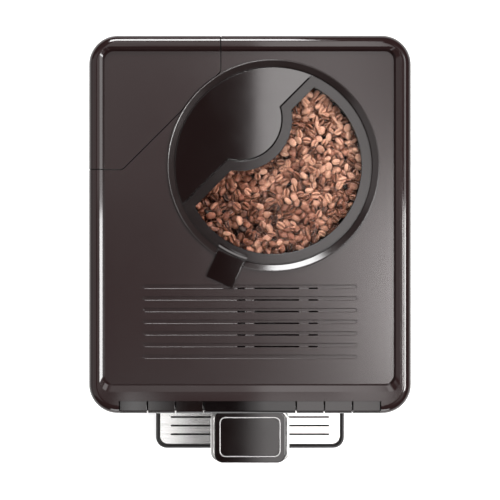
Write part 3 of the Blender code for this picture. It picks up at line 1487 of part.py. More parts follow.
def grinder():
    motor = turned(
        (
            (0, MOTOR_LOW),
            (MOTOR_RADIUS, MOTOR_LOW),
            (MOTOR_RADIUS, MOTOR_TOP - BURR_LIFT),
            (MOTOR_RADIUS - BURR_LIFT, MOTOR_TOP),
            (0, MOTOR_TOP),
        ),
        GRINDER_X,
        GRINDER_Y,
    )
    piece("grinder_motor", motor, STEEL)
    ledge = HOUSING_INNER - UPPER_BURR_STEP
    shaft_hole = BURR_SHAFT + SEAT_GAP
    ledge_z = BURR_LOW + BURR_LIFT
    housing = turned(
        (
            (shaft_hole, HOUSING_LOW),
            (GRINDER_RADIUS, HOUSING_LOW),
            (GRINDER_RADIUS, GRINDER_TOP),
            (HOUSING_INNER, GRINDER_TOP),
            (HOUSING_INNER, ledge_z),
            (ledge, ledge_z),
            (ledge, HOUSING_LOW + HOUSING_FLOOR),
            (shaft_hole, HOUSING_LOW + HOUSING_FLOOR),
        ),
        GRINDER_X,
        GRINDER_Y,
        closed=True,
    )
    body = piece("grinder_housing", housing, CAST_METAL)
    outlet = box(
        around(GRINDER_X, CHUTE_WIDTH - CHUTE_WALL * 4),
        (CHUTE_Y - CHUTE_LENGTH, GRINDER_Y - BURR_RADIUS),
        (HOUSING_LOW + HOUSING_FLOOR, ledge_z - SEAT_GAP),
    )
    cut(body, outlet)
    axis = joint_at("grinder_axis", (GRINDER_X, GRINDER_Y, BURR_LOW))
    rings = []
    for ring in range(BURR_RINGS + 1):
        share = ring / BURR_RINGS
        radius = BURR_RADIUS + (BURR_TIP - BURR_RADIUS) * share
        level = BURR_LOW + BURR_HEIGHT * share
        turn = BURR_TWIST * share
        rings.append(
            lobed(GRINDER_X, GRINDER_Y, level, radius, BURR_LOBE_DEPTH, BURR_LOBES, turn)
        )
    lower = piece("lower_burr", loft(rings), CERAMIC, axis)
    shaft = rod(
        (GRINDER_X, GRINDER_Y, MOTOR_TOP + SEAT_GAP),
        (GRINDER_X, GRINDER_Y, BURR_LOW + BURR_HEIGHT / 2),
        BURR_SHAFT,
    )
    fuse(lower, shaft)
    outer = HOUSING_INNER - SEAT_GAP
    seat = ledge_z + SEAT_GAP
    slope = (BURR_RADIUS - BURR_TIP) / BURR_HEIGHT
    inner_low = BURR_RADIUS + BURR_CLEARANCE - slope * (seat - BURR_LOW)
    inner_top = inner_low - slope * (GRINDER_TOP - seat) / 2
    ring = turned(
        (
            (inner_low, seat),
            (outer, seat),
            (outer, GRINDER_TOP),
            (THROAT_RADIUS, GRINDER_TOP),
            (inner_top, (seat + GRINDER_TOP) / 2),
        ),
        GRINDER_X,
        GRINDER_Y,
        closed=True,
    )
    piece("upper_burr", ring, CERAMIC)
    top = HOUSING_LOW + HOUSING_FLOOR
    chute_z = (CHUTE_LOW, top)
    chute = box(around(GRINDER_X, CHUTE_WIDTH), around(CHUTE_Y, CHUTE_LENGTH), chute_z)
    tube = piece("grounds_chute", softened(chute, CHUTE_WALL, upright), GREY_PLASTIC)
    bore = box(
        around(GRINDER_X, CHUTE_WIDTH - CHUTE_WALL * 2),
        around(CHUTE_Y, CHUTE_LENGTH - CHUTE_WALL * 2),
        (CHUTE_LOW - OVERRUN, top + OVERRUN),
    )
    room = turned(
        (
            (0, MOTOR_LOW - OVERRUN),
            (GRINDER_RADIUS + SEAT_GAP, MOTOR_LOW - OVERRUN),
            (GRINDER_RADIUS + SEAT_GAP, top + OVERRUN),
            (0, top + OVERRUN),
        ),
        GRINDER_X,
        GRINDER_Y,
    )
    cut(tube, bore, room)


def lobed(x, y, z, radius, depth, lobes, turn):
    """A ring whose radius swells and sinks once for each lobe."""
    points = []
    count = lobes * 4
    for step in range(count):
        angle = 2 * math.pi * step / count
        reach = radius + depth * math.cos(lobes * angle)
        points.append((x + reach * math.cos(angle + turn), y + reach * math.sin(angle + turn), z))
    return points


# Brew unit

BREW_LEFT = 0.034
BREW_RIGHT = 0.116
BREW_FRONT = 0.020
BREW_BACK = 0.122
BREW_HEIGHT = 0.141
BREW_PLATE = 0.003
BRIDGE = 0.004
CHAMBER_Y = 0.058
CHAMBER_RADIUS = 0.025
CHAMBER_BORE = 0.020
CHAMBER_FLOOR = 0.016
CHAMBER_TOP = 0.080
SIEVE_THICKNESS = 0.005
PISTON_LOW = 0.089
PISTON_HEIGHT = 0.010
PISTON_NECK = 0.008
PISTON_ARM_LOW = 0.119
PISTON_ARM = 0.007
ARM_HALF = 0.009
SPINDLE_Y = 0.103
SPINDLE_RADIUS = 0.005
SPINDLE_THREAD = 0.0009
THREAD_LOW = 0.062
THREAD_HIGH = 0.134
THREAD_PITCH = 0.030
THREAD_STARTS = 3
THREAD_RINGS = 18
NUT_RADIUS = 0.010
NUT_HEIGHT = 0.020
TOOTH_MODULE = 0.001
ROOT_SHARE = 1.2
TIP_SHARE = 0.8
TOOTH_WIDTH_SHARES = (0.3, 0.11)
GEAR_TEETH = 36
PINION_TEETH = 12
GEAR_THICKNESS = 0.007
MESH_PLAY = 0.0002
GEAR_BORE = 0.0032
BREW_MOTOR_RADIUS = 0.0115
BREW_MOTOR_LENGTH = 0.036
MOTOR_SHAFT = 0.0022
CHUTE_LOW = 0.155
BREW_LOW = BASE_FLOOR + SEAT_GAP
BREW_TOP = BREW_LOW + BREW_HEIGHT
BREW_X = (BREW_LEFT + BREW_RIGHT) / 2
GEAR_LOW = BREW_TOP + SEAT_GAP
PINION_X = BREW_X - TOOTH_MODULE * (GEAR_TEETH + PINION_TEETH) / 2 - MESH_PLAY


def gear_outline(x, y, teeth, start):
    """A spur gear's outline: four points a tooth, from root to tip and back."""
    pitch_radius = TOOTH_MODULE * teeth / 2
    root = pitch_radius - TOOTH_MODULE * ROOT_SHARE
    tip = pitch_radius + TOOTH_MODULE * TIP_SHARE
    foot, crest = TOOTH_WIDTH_SHARES
    points = []
    for tooth in range(teeth):
        for reach, share in ((root, -foot), (tip, -crest), (tip, crest), (root, foot)):
            angle = start + 2 * math.pi * (tooth + share) / teeth
            points.append((x + reach * math.cos(angle), y + reach * math.sin(angle)))
    return points


def brew_unit():
    frame_box = box((BREW_LEFT, BREW_RIGHT), (BREW_FRONT, BREW_BACK), (BREW_LOW, BREW_TOP))
    frame = piece("brew_frame", frame_box, GREY_PLASTIC)
    hollow = box(
        (BREW_LEFT + BREW_PLATE, BREW_RIGHT - BREW_PLATE),
        (BREW_FRONT - OVERRUN, BREW_BACK + OVERRUN),
        (BREW_LOW + BRIDGE, BREW_TOP - BRIDGE),
    )
    spindle_hole = rod(
        (BREW_X, SPINDLE_Y, BREW_LOW - OVERRUN),
        (BREW_X, SPINDLE_Y, BREW_TOP + OVERRUN),
        SPINDLE_RADIUS + SEAT_GAP,
    )
    shaft_hole = rod(
        (PINION_X, SPINDLE_Y, BREW_TOP - BRIDGE - OVERRUN),
        (PINION_X, SPINDLE_Y, BREW_TOP + OVERRUN),
        MOTOR_SHAFT + SEAT_GAP,
    )
    cut(frame, hollow, spindle_hole, shaft_hole)
    low = BREW_LOW + BRIDGE + SEAT_GAP
    cup = (
        (0, low),
        (CHAMBER_RADIUS, low),
        (CHAMBER_RADIUS, CHAMBER_TOP),
        (CHAMBER_BORE, CHAMBER_TOP),
        (CHAMBER_BORE, low + CHAMBER_FLOOR),
        (0, low + CHAMBER_FLOOR),
    )
    piece("brew_chamber", turned(cup, BREW_X, CHAMBER_Y), SMOKED)
    sieve_low = low + CHAMBER_FLOOR + SEAT_GAP
    sieve = (
        (0, sieve_low),
        (CHAMBER_BORE - SEAT_GAP, sieve_low),
        (CHAMBER_BORE - SEAT_GAP, sieve_low + SIEVE_THICKNESS),
        (0, sieve_low + SIEVE_THICKNESS),
    )
    piece("lower_sieve", turned(sieve, BREW_X, CHAMBER_Y), STEEL)
    travel = joint_at("piston_travel", (BREW_X, SPINDLE_Y, PISTON_ARM_LOW))
    disc = CHAMBER_BORE - RUN_GAP
    piston_profile = (
        (0, PISTON_LOW),
        (disc - RUN_GAP, PISTON_LOW),
        (disc, PISTON_LOW + RUN_GAP),
        (disc, PISTON_LOW + PISTON_HEIGHT),
        (PISTON_NECK, PISTON_LOW + PISTON_HEIGHT),
        (PISTON_NECK, PISTON_ARM_LOW + PISTON_ARM / 2),
        (0, PISTON_ARM_LOW + PISTON_ARM / 2),
    )
    piston = piece("upper_piston", turned(piston_profile, BREW_X, CHAMBER_Y), GREY_PLASTIC, travel)
    arm_z = (PISTON_ARM_LOW, PISTON_ARM_LOW + PISTON_ARM)
    arm = box(around(BREW_X, ARM_HALF * 2), (CHAMBER_Y - ARM_HALF, SPINDLE_Y), arm_z)
    nut_low = PISTON_ARM_LOW + PISTON_ARM - NUT_HEIGHT
    nut = rod((BREW_X, SPINDLE_Y, nut_low), (BREW_X, SPINDLE_Y, arm_z[1]), NUT_RADIUS)
    fuse(piston, arm, nut)
    nut_bore = SPINDLE_RADIUS + SEAT_GAP
    bore = rod((BREW_X, SPINDLE_Y, nut_low - OVERRUN), (BREW_X, SPINDLE_Y, BREW_TOP), nut_bore)
    cut(piston, bore)
    brew_drive()


def brew_drive():
    axis = joint_at("spindle_axis", (BREW_X, SPINDLE_Y, GEAR_LOW))
    top = GEAR_LOW + GEAR_THICKNESS
    core = SPINDLE_RADIUS - SPINDLE_THREAD
    shaft = [(BREW_LOW + SEAT_GAP, SPINDLE_RADIUS, 0), (THREAD_LOW - WALL, SPINDLE_RADIUS, 0)]
    for ring in range(THREAD_RINGS + 1):
        level = THREAD_LOW + (THREAD_HIGH - THREAD_LOW) * ring / THREAD_RINGS
        shaft.append((level, core, SPINDLE_THREAD))
    shaft += [
        (THREAD_HIGH + WALL, SPINDLE_RADIUS, 0),
        (BREW_TOP, SPINDLE_RADIUS, 0),
        (BREW_TOP, GEAR_BORE, 0),
        (top, GEAR_BORE, 0),
    ]
    rings = []
    for level, radius, depth in shaft:
        turn = 2 * math.pi * (level - THREAD_LOW) / THREAD_PITCH if depth else 0
        rings.append(lobed(BREW_X, SPINDLE_Y, level, radius, depth, THREAD_STARTS, turn))
    piece("brew_spindle", loft(rings), STEEL, axis)
    half_tooth = math.pi / GEAR_TEETH
    wheel = prism(gear_outline(BREW_X, SPINDLE_Y, GEAR_TEETH, half_tooth), GEAR_LOW, top)
    gear = piece("spindle_gear", wheel, GREY_PLASTIC, axis)
    cut(
        gear,
        rod(
            (BREW_X, SPINDLE_Y, GEAR_LOW - OVERRUN),
            (BREW_X, SPINDLE_Y, top + OVERRUN),
            GEAR_BORE + SEAT_GAP,
        ),
    )
    motor_top = BREW_TOP - BRIDGE - SEAT_GAP
    body = turned(
        (
            (0, motor_top - BREW_MOTOR_LENGTH),
            (BREW_MOTOR_RADIUS, motor_top - BREW_MOTOR_LENGTH),
            (BREW_MOTOR_RADIUS, motor_top),
            (0, motor_top),
        ),
        PINION_X,
        SPINDLE_Y,
        FINE_STEPS,
    )
    piece("brew_motor", body, STEEL)
    motor_axis = joint_at("pinion_axis", (PINION_X, SPINDLE_Y, GEAR_LOW))
    small = prism(gear_outline(PINION_X, SPINDLE_Y, PINION_TEETH, 0), GEAR_LOW, top)
    pinion = piece("motor_pinion", small, BRASS, motor_axis)
    shaft = rod(
        (PINION_X, SPINDLE_Y, motor_top + SEAT_GAP),
        (PINION_X, SPINDLE_Y, GEAR_LOW + WALL),
        MOTOR_SHAFT,
    )
    fuse(pinion, shaft)


# Water path: pump, heater and hoses

PUMP_RADIUS = 0.0165
PUMP_FRONT = 0.006
PUMP_LENGTH = 0.048
PUMP_RISE = 0.019
PUMP_FOOT_HALF = 0.010
PUMP_FOOT = 0.008
OUTLET_RISE = 0.006
HEATER_LEFT = -0.112
HEATER_RIGHT = -0.062
HEATER_FRONT = -0.020
HEATER_BACK = 0.060
HEATER_HEIGHT = 0.046
HEATER_SOFT = 0.006
FIN_COUNT = 5
FIN_WIDTH = 0.005
FIN_DEPTH = 0.006
HOSE_RADIUS = 0.0035
HOSE_SIDES = 2
HOSE_STEPS = 12
PUMP_Z = BASE_FLOOR + SEAT_GAP + PUMP_RISE
PUMP_BACK = PUMP_FRONT + PUMP_LENGTH
HEATER_LOW = SHELF_LEVEL + SHELF_THICKNESS + SEAT_GAP


def pump():
    barrel = rod((HOSE_X, PUMP_FRONT, PUMP_Z), (HOSE_X, PUMP_BACK, PUMP_Z), PUMP_RADIUS, ROUND_STEPS)
    thing = piece("pump", barrel, CAST_METAL)
    for y in (PUMP_FRONT + PUMP_FOOT, PUMP_BACK - PUMP_FOOT):
        foot_z = (BASE_FLOOR + SEAT_GAP, PUMP_Z)
        foot = box(around(HOSE_X, PUMP_FOOT_HALF * 2), around(y, PUMP_FOOT), foot_z)
        fuse(thing, foot)
    inlet_start = (HOSE_X, PUMP_BACK - WALL, PUMP_Z)
    inlet_end = (HOSE_X, PUMP_BACK + NIPPLE_LENGTH, PUMP_Z)
    outlet_top = PUMP_Z + PUMP_RADIUS + OUTLET_RISE
    outlet = rod((HOSE_X, OUTLET_Y, PUMP_Z), (HOSE_X, OUTLET_Y, outlet_top), HOSE_RADIUS)
    fuse(thing, rod(inlet_start, inlet_end, HOSE_RADIUS), outlet)


def heater():
    block = box(
        (HEATER_LEFT, HEATER_RIGHT),
        (HEATER_FRONT, HEATER_BACK),
        (HEATER_LOW, HEATER_LOW + HEATER_HEIGHT),
    )
    thing = piece("thermoblock", softened(block, HEATER_SOFT, upright), CAST_METAL)
    length = HEATER_BACK - HEATER_FRONT
    for number in range(FIN_COUNT):
        y = HEATER_FRONT + length * (number + 0.5) / FIN_COUNT
        top = HEATER_LOW + HEATER_HEIGHT
        gap = box(
            (HEATER_LEFT - OVERRUN, HEATER_RIGHT + OVERRUN),
            around(y, FIN_WIDTH),
            (top - FIN_DEPTH, top + OVERRUN),
        )
        cut(thing, gap)


def hose(name, start, end, look):
    """A hose along Y between two fittings: straight out of each, with a smooth bend between."""
    start = Vector(start)
    end = Vector(end)
    straight = Vector((0, math.copysign(HOSE_RADIUS, end.y - start.y), 0))
    bend_start = start + straight
    bend = end - straight - bend_start
    path = [start]
    for step in range(HOSE_STEPS + 1):
        share = step / HOSE_STEPS
        eased = share * share * (3 - 2 * share)
        path.append(bend_start + Vector((bend.x * eased, bend.y * share, bend.z * eased)))
    path.append(end)
    curve = bpy.data.curves.new(name, "CURVE")
    curve.dimensions = "3D"
    curve.bevel_depth = HOSE_RADIUS
    curve.bevel_resolution = HOSE_SIDES
    curve.use_fill_caps = True
    spline = curve.splines.new("POLY")
    spline.points.add(len(path) - 1)
    for target, point in zip(spline.points, path):
        target.co = (*point, 1)
    curve.materials.append(finish_of(look))
    thing = bpy.data.objects.new(name, curve)
    bpy.context.scene.collection.objects.link(thing)


def hoses():
    low = BASE_FLOOR + SEAT_GAP + NIPPLE_RISE
    socket_end = VALVE_Y - SOCKET_RADIUS - NIPPLE_LENGTH - SEAT_GAP
    pump_end = PUMP_BACK + NIPPLE_LENGTH + SEAT_GAP
    hose("suction_hose", (HOSE_X, socket_end, low), (HOSE_X, pump_end, PUMP_Z), SILICONE)
    start = PUMP_Z + PUMP_RADIUS + OUTLET_RISE + SEAT_GAP
    tube = rod((HOSE_X, OUTLET_Y, start), (HOSE_X, OUTLET_Y, HEATER_LOW - SEAT_GAP), HOSE_RADIUS)
    piece("pressure_hose", tube, SILICONE)


base_pan()
feet()
left_side_panel()
right_side_panel()
service_door()
rear_cover()
mains_inlet()
power_switch()
top_cover()
tank_partition()
water_tank()
hopper_bezel()
hopper_lid()
bean_hopper()
coffee_beans()
front_fascia()
controls()
spout_rail()
spout()
drip_tray()
mid_shelf()
grinder()
brew_unit()
pump()
heater()
hoses()
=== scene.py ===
"""Bean to cup coffee machine: gloss and satin black casing, bean hopper, spout and drip tray."""

import json
import math
import random

import bmesh
import bpy
from mathutils import Matrix, Vector


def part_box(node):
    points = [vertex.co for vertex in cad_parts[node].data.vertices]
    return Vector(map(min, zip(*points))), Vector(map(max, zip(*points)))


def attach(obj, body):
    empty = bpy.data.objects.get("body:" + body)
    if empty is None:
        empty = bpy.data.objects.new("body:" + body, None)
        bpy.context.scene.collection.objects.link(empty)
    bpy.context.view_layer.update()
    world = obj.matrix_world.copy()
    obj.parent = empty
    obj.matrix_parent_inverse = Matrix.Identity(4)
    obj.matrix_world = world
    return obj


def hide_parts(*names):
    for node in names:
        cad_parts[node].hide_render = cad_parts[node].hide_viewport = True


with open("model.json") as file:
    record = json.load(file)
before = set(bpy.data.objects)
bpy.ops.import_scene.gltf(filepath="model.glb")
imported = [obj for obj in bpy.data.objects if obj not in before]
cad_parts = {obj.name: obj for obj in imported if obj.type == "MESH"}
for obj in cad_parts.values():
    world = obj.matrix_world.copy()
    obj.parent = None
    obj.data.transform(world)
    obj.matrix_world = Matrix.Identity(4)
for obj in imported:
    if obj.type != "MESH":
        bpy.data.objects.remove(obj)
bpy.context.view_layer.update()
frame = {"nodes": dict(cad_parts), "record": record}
nodes = frame["nodes"]
body_of = {
    node: body
    for body, group in frame["record"]["behaviour"]["bodies"].items()
    for node in group
}

MM = 0.001
SAME_LEVEL = 0.01 * MM
PANEL_TOP, RIM_TOP, SKIRT_LOW = 345.5 * MM, 350.0 * MM, 326.0 * MM
LEFT, RIGHT, FRONT, REAR = -130 * MM, 130 * MM, -117 * MM, 188 * MM
CORNER = 23.5 * MM
CASING_WALL = 2.5 * MM
HOPPER = Vector((18.7, 82.7, 0)) * MM


# Meshes

def placed(name, data):
    """Puts an object with the given mesh, lamp or camera into the scene."""
    thing = bpy.data.objects.new(name, data)
    bpy.context.scene.collection.objects.link(thing)
    return thing


def mesh_of(name, shape):
    """Turns a bmesh into a mesh and frees it."""
    mesh = bpy.data.meshes.new(name)
    shape.to_mesh(mesh)
    shape.free()
    return mesh


def piece(name, shape, look, body, *stands_for, smooth=35):
    """Makes an object from a bmesh, shades it and lets it ride on its body."""
    mesh = mesh_of(name, shape)
    mesh.shade_smooth()
    mesh.set_sharp_from_angle(angle=math.radians(smooth))
    mesh.materials.append(look)
    thing = placed(name, mesh)
    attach(thing, body)
    if stands_for:
        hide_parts(*stands_for)
    return thing


def new_verts(extruded):
    """The vertices that an extrusion has made."""
    return [item for item in extruded["geom"] if isinstance(item, bmesh.types.BMVert)]


def outline(corners, steps):
    """A flat face at z = 0 with every (x, y, radius) corner rounded by a vertex bevel."""
    shape = bmesh.new()
    verts = [shape.verts.new((x, y, 0)) for x, y, _ in corners]
    shape.faces.new(verts)
    for vert, (_, _, radius) in zip(verts, corners):
        if radius <= 0:
            continue
        before, after = [edge.other_vert(vert).co - vert.co for edge in vert.link_edges]
        half = before.angle(after) / 2
        bmesh.ops.bevel(
            shape, geom=[vert], offset=radius / math.tan(half), offset_type="OFFSET",
            segments=steps, profile=0.5, affect="VERTICES", material=-1,
        )
    return shape


def rectangle(x_low, x_high, y_low, y_high, radius):
    """The (x, y, radius) corners of an upright rectangle, seen from above."""
    return [
        (x_low, y_low, radius), (x_high, y_low, radius),
        (x_high, y_high, radius), (x_low, y_high, radius),
    ]


def raised(shape, z_low, z_high):
    """Turns a flat outline into a prism between two levels."""
    bmesh.ops.translate(shape, verts=shape.verts, vec=(0, 0, z_low))
    tops = new_verts(bmesh.ops.extrude_face_region(shape, geom=shape.faces[:]))
    bmesh.ops.translate(shape, verts=tops, vec=(0, 0, z_high - z_low))
    bmesh.ops.recalc_face_normals(shape, faces=shape.faces)
    return shape


def prism(corners, z_low, z_high, steps):
    return raised(outline(corners, steps), z_low, z_high)


def block(x_span, y_span, z_span):
    return prism(rectangle(*x_span, *y_span, 0), *z_span, 1)


def disc(centre, radius, z_low, z_high, steps=128):
    shape = bmesh.new()
    bmesh.ops.create_circle(shape, cap_ends=True, segments=steps, radius=radius)
    bmesh.ops.translate(shape, verts=shape.verts, vec=centre)
    return raised(shape, z_low, z_high)


def ring_about(centre, profile, steps):
    """A closed ring turned about an upright axis from (radius, z) points."""
    shape = bmesh.new()
    verts = [shape.verts.new((centre.x + radius, centre.y, z)) for radius, z in profile]
    edges = [shape.edges.new(pair) for pair in zip(verts, verts[1:] + verts[:1])]
    bmesh.ops.spin(
        shape, geom=verts + edges, cent=centre, axis=(0, 0, 1),
        angle=2 * math.pi, steps=steps, use_merge=True,
    )
    bmesh.ops.remove_doubles(shape, verts=shape.verts, dist=0.001 * MM)
    bmesh.ops.recalc_face_normals(shape, faces=shape.faces)
    return shape


def turn_about(shape, angle, axis):
    """Turns a shape about an axis through the origin."""
    bmesh.ops.rotate(
        shape, verts=shape.verts, cent=(0, 0, 0), matrix=Matrix.Rotation(angle, 3, axis),
    )


def edges_at(shape, z):
    return [edge for edge in shape.edges if all(abs(v.co.z - z) < SAME_LEVEL for v in edge.verts)]


def soften(shape, edges, width, segments):
    """Rounds chosen edges of a bmesh by a width in metres."""
    bmesh.ops.bevel(
        shape, geom=edges, offset=width, offset_type="OFFSET", segments=segments,
        profile=0.5, affect="EDGES", material=-1, clamp_overlap=True,
    )
    return shape


def carved(shape, *steps):
    """Applies Boolean steps, each (operation, cutter), and gives back the resulting bmesh."""
    blank = placed("blank", mesh_of("blank", shape))
    cutters = []
    for operation, cutter in steps:
        tool = placed("cutter", mesh_of("cutter", cutter))
        cutters.append(tool)
        step = blank.modifiers.new(operation, "BOOLEAN")
        step.operation = operation
        step.solver = "EXACT"
        step.object = tool
    bpy.context.view_layer.update()
    result = bmesh.new()
    result.from_object(blank, bpy.context.evaluated_depsgraph_get())
    for thing in [blank, *cutters]:
        bpy.data.objects.remove(thing)
    bmesh.ops.remove_doubles(result, verts=result.verts, dist=0.005 * MM)
    return result


def even_shading(thing):
    """Keeps wide flat faces flat where they meet a narrow rounded edge."""
    even = thing.modifiers.new("even shading", "WEIGHTED_NORMAL")
    even.keep_sharp = True


def soft_edges(thing, width, segments=2, degrees=32):
    """Rounds every edge sharper than some degrees, by a width in millimetres."""
    edge = thing.modifiers.new("soft edges", "BEVEL")
    edge.width = width * MM
    edge.segments = segments
    edge.limit_method = "ANGLE"
    edge.angle_limit = math.radians(degrees)
    even_shading(thing)


def own_form(node):
    """A copy of a CAD node's mesh, its loose triangles merged."""
    shape = bmesh.new()
    shape.from_mesh(nodes[node].data)
    bmesh.ops.remove_doubles(shape, verts=shape.verts, dist=0.01 * MM)
    return shape


def flat_faces(shape):
    """Joins the triangles of each flat side into one face."""
    bmesh.ops.dissolve_limit(
        shape, angle_limit=math.radians(1), verts=shape.verts, edges=shape.edges,
    )
    return shape


def dressed(node, look, width):
    """The CAD node's own form, with edges softened by a width in millimetres."""
    shape = flat_faces(own_form(node))
    thing = piece(f"{node}_finish", shape, look, body_of[node], node)
    if width:
        soft_edges(thing, width, 2, 35)


# Finishes

def finish(name, colour, roughness, metallic=0.0, **sockets):
    """A plain material; a socket is named with underscores for its spaces."""
    material = bpy.data.materials.new(name)
    material.use_nodes = True
    shader = material.node_tree.nodes["Principled BSDF"]
    shader.inputs["Base Color"].default_value = (*colour, 1)
    shader.inputs["Roughness"].default_value = roughness
    shader.inputs["Metallic"].default_value = metallic
    for socket, value in sockets.items():
        shader.inputs[socket.replace("_", " ")].default_value = value
    return material


def add_node(material, kind, **inputs):
    node = material.node_tree.nodes.new(kind)
    for socket, value in inputs.items():
        node.inputs[socket.replace("_", " ")].default_value = value
    return node


def position(material, stretch=(1, 1, 1)):
    """Object coordinates, stretched along the axes where the finish has a direction."""
    links = material.node_tree.links
    where = add_node(material, "ShaderNodeTexCoord")
    mapping = add_node(material, "ShaderNodeMapping", Scale=stretch)
    links.new(where.outputs["Object"], mapping.inputs["Vector"])
    return mapping.outputs["Vector"]


def noise(material, scale, detail=4.0, roughness=0.5, stretch=(1, 1, 1)):
    node = add_node(
        material, "ShaderNodeTexNoise", Scale=scale, Detail=detail, Roughness=roughness,
    )
    material.node_tree.links.new(position(material, stretch), node.inputs["Vector"])
    return node.outputs["Fac"]


def spread(material, value, low, high):
    """Maps a noise, which lies mostly between 0.3 and 0.7, onto low..high."""
    node = add_node(
        material, "ShaderNodeMapRange", From_Min=0.3, From_Max=0.7, To_Min=low, To_Max=high,
    )
    material.node_tree.links.new(value, node.inputs["Value"])
    return node.outputs["Result"]


def bump(material, height, strength, distance):
    links = material.node_tree.links
    node = add_node(material, "ShaderNodeBump", Strength=strength, Distance=distance)
    links.new(height, node.inputs["Height"])
    links.new(node.outputs["Normal"], material.node_tree.nodes["Principled BSDF"].inputs["Normal"])
    return material


def vary_roughness(material, pattern, low, high):
    shader = material.node_tree.nodes["Principled BSDF"]
    material.node_tree.links.new(spread(material, pattern, low, high), shader.inputs["Roughness"])


def vary_colour(material, pattern, dark, light):
    shader = material.node_tree.nodes["Principled BSDF"]
    mix = material.node_tree.nodes.new("ShaderNodeMix")
    mix.data_type = "RGBA"
    mix.inputs["A"].default_value = (*dark, 1)
    mix.inputs["B"].default_value = (*light, 1)
    material.node_tree.links.new(spread(material, pattern, 0, 1), mix.inputs["Factor"])
    material.node_tree.links.new(mix.outputs["Result"], shader.inputs["Base Color"])


RIM_POLISH = 0.14
POLISH_FROM, POLISH_TO = PANEL_TOP + 0.2 * MM, PANEL_TOP + 1.2 * MM


def satin_casing():
    """Warm black plastic, satin on the flat top and polished on the raised rim."""
    colour = (0.0128, 0.0063, 0.0063)
    dark, light = (0.0120, 0.0059, 0.0059), (0.0136, 0.0067, 0.0067)
    material = finish("satin casing plastic", colour, 0.22, Specular_IOR_Level=0.42)
    vary_colour(material, noise(material, 9, 3), dark, light)
    links = material.node_tree.links
    split = add_node(material, "ShaderNodeSeparateXYZ")
    links.new(position(material), split.inputs["Vector"])
    polish = add_node(
        material, "ShaderNodeMapRange",
        From_Min=POLISH_FROM, From_Max=POLISH_TO, To_Min=0.0, To_Max=RIM_POLISH,
    )
    links.new(split.outputs["Z"], polish.inputs["Value"])
    less = add_node(material, "ShaderNodeMath")
    less.operation = "SUBTRACT"
    links.new(spread(material, noise(material, 60, 5), 0.212, 0.228), less.inputs[0])
    links.new(polish.outputs["Result"], less.inputs[1])
    shader = material.node_tree.nodes["Principled BSDF"]
    links.new(less.outputs["Value"], shader.inputs["Roughness"])
    return bump(material, noise(material, 2600, 2), 0.012, 0.00003)


def piano_black(name, shine):
    material = finish(name, (0.0036, 0.0008, 0.0007), 0.08, Specular_IOR_Level=shine)
    dark, light = (0.0032, 0.0007, 0.0006), (0.0040, 0.0010, 0.0009)
    vary_colour(material, noise(material, 12, 2), dark, light)
    vary_roughness(material, noise(material, 45, 4), 0.07, 0.09)
    return bump(material, noise(material, 300, 2), 0.03, 0.00005)


def grained_black():
    material = finish("grained black plastic", (0.018, 0.016, 0.016), 0.5)
    vary_colour(material, noise(material, 20, 3), (0.015, 0.0135, 0.0135), (0.021, 0.019, 0.019))
    vary_roughness(material, noise(material, 90, 4), 0.45, 0.56)
    return bump(material, noise(material, 1700, 5, 0.6), 0.35, 0.00012)


def polished_ring():
    colour = (0.012, 0.0080, 0.0077)
    dark, light = (0.0112, 0.0074, 0.0071), (0.0128, 0.0086, 0.0083)
    material = finish("polished dark ring", colour, 0.17, Specular_IOR_Level=0.52)
    vary_colour(material, noise(material, 30, 3), dark, light)
    vary_roughness(material, noise(material, 80, 4), 0.15, 0.20)
    return bump(material, noise(material, 900, 3, 0.5, (1, 1, 6)), 0.04, 0.00003)


def trim_silver():
    material = finish("fine silver trim", (0.50, 0.49, 0.49), 0.42, 1.0)
    vary_roughness(material, noise(material, 90, 4), 0.38, 0.46)
    return bump(material, noise(material, 900, 3), 0.04, 0.00003)


def silver_paint():
    material = finish("silver paint", (0.62, 0.61, 0.60), 0.3, 0.75)
    vary_colour(material, noise(material, 2400, 2), (0.58, 0.57, 0.56), (0.68, 0.67, 0.66))
    vary_roughness(material, noise(material, 70, 3), 0.27, 0.34)
    return bump(material, noise(material, 1500, 3), 0.08, 0.00004)


def brushed_steel():
    material = finish("fine brushed steel", (0.66, 0.65, 0.64), 0.12, 1.0)
    lines = noise(material, 240, 4, 0.5, (0.06, 6, 6))
    vary_roughness(material, lines, 0.10, 0.15)
    return bump(material, lines, 0.02, 0.00001)


def pressed_steel():
    material = finish("pressed steel", (0.50, 0.50, 0.50), 0.38, 1.0)
    vary_roughness(material, noise(material, 120, 5), 0.32, 0.48)
    return bump(material, noise(material, 500, 5, 0.6), 0.12, 0.0001)


def cast_metal():
    material = finish("cast aluminium", (0.48, 0.48, 0.48), 0.5, 1.0)
    vary_colour(material, noise(material, 30, 4), (0.42, 0.42, 0.42), (0.54, 0.54, 0.54))
    vary_roughness(material, noise(material, 160, 4), 0.42, 0.6)
    return bump(material, noise(material, 900, 6, 0.65), 0.4, 0.0002)


def brass():
    material = finish("machined brass", (0.62, 0.44, 0.19), 0.28, 1.0)
    vary_roughness(material, noise(material, 200, 4, 0.5, (1, 1, 12)), 0.22, 0.36)
    return bump(material, noise(material, 700, 3, 0.5, (1, 1, 10)), 0.1, 0.00005)


def ceramic():
    material = finish("white ceramic", (0.76, 0.74, 0.70), 0.35)
    vary_colour(material, noise(material, 40, 4), (0.70, 0.67, 0.62), (0.80, 0.78, 0.74))
    vary_roughness(material, noise(material, 200, 3), 0.3, 0.42)
    return bump(material, noise(material, 1200, 3), 0.1, 0.00006)


def smoked_plastic():
    material = finish(
        "smoked plastic", (0.13, 0.12, 0.12), 0.10, Transmission_Weight=0.75, IOR=1.49,
    )
    vary_colour(material, noise(material, 14, 3), (0.11, 0.10, 0.10), (0.15, 0.14, 0.14))
    vary_roughness(material, noise(material, 90, 3), 0.08, 0.14)
    return bump(material, noise(material, 400, 2), 0.012, 0.00003)


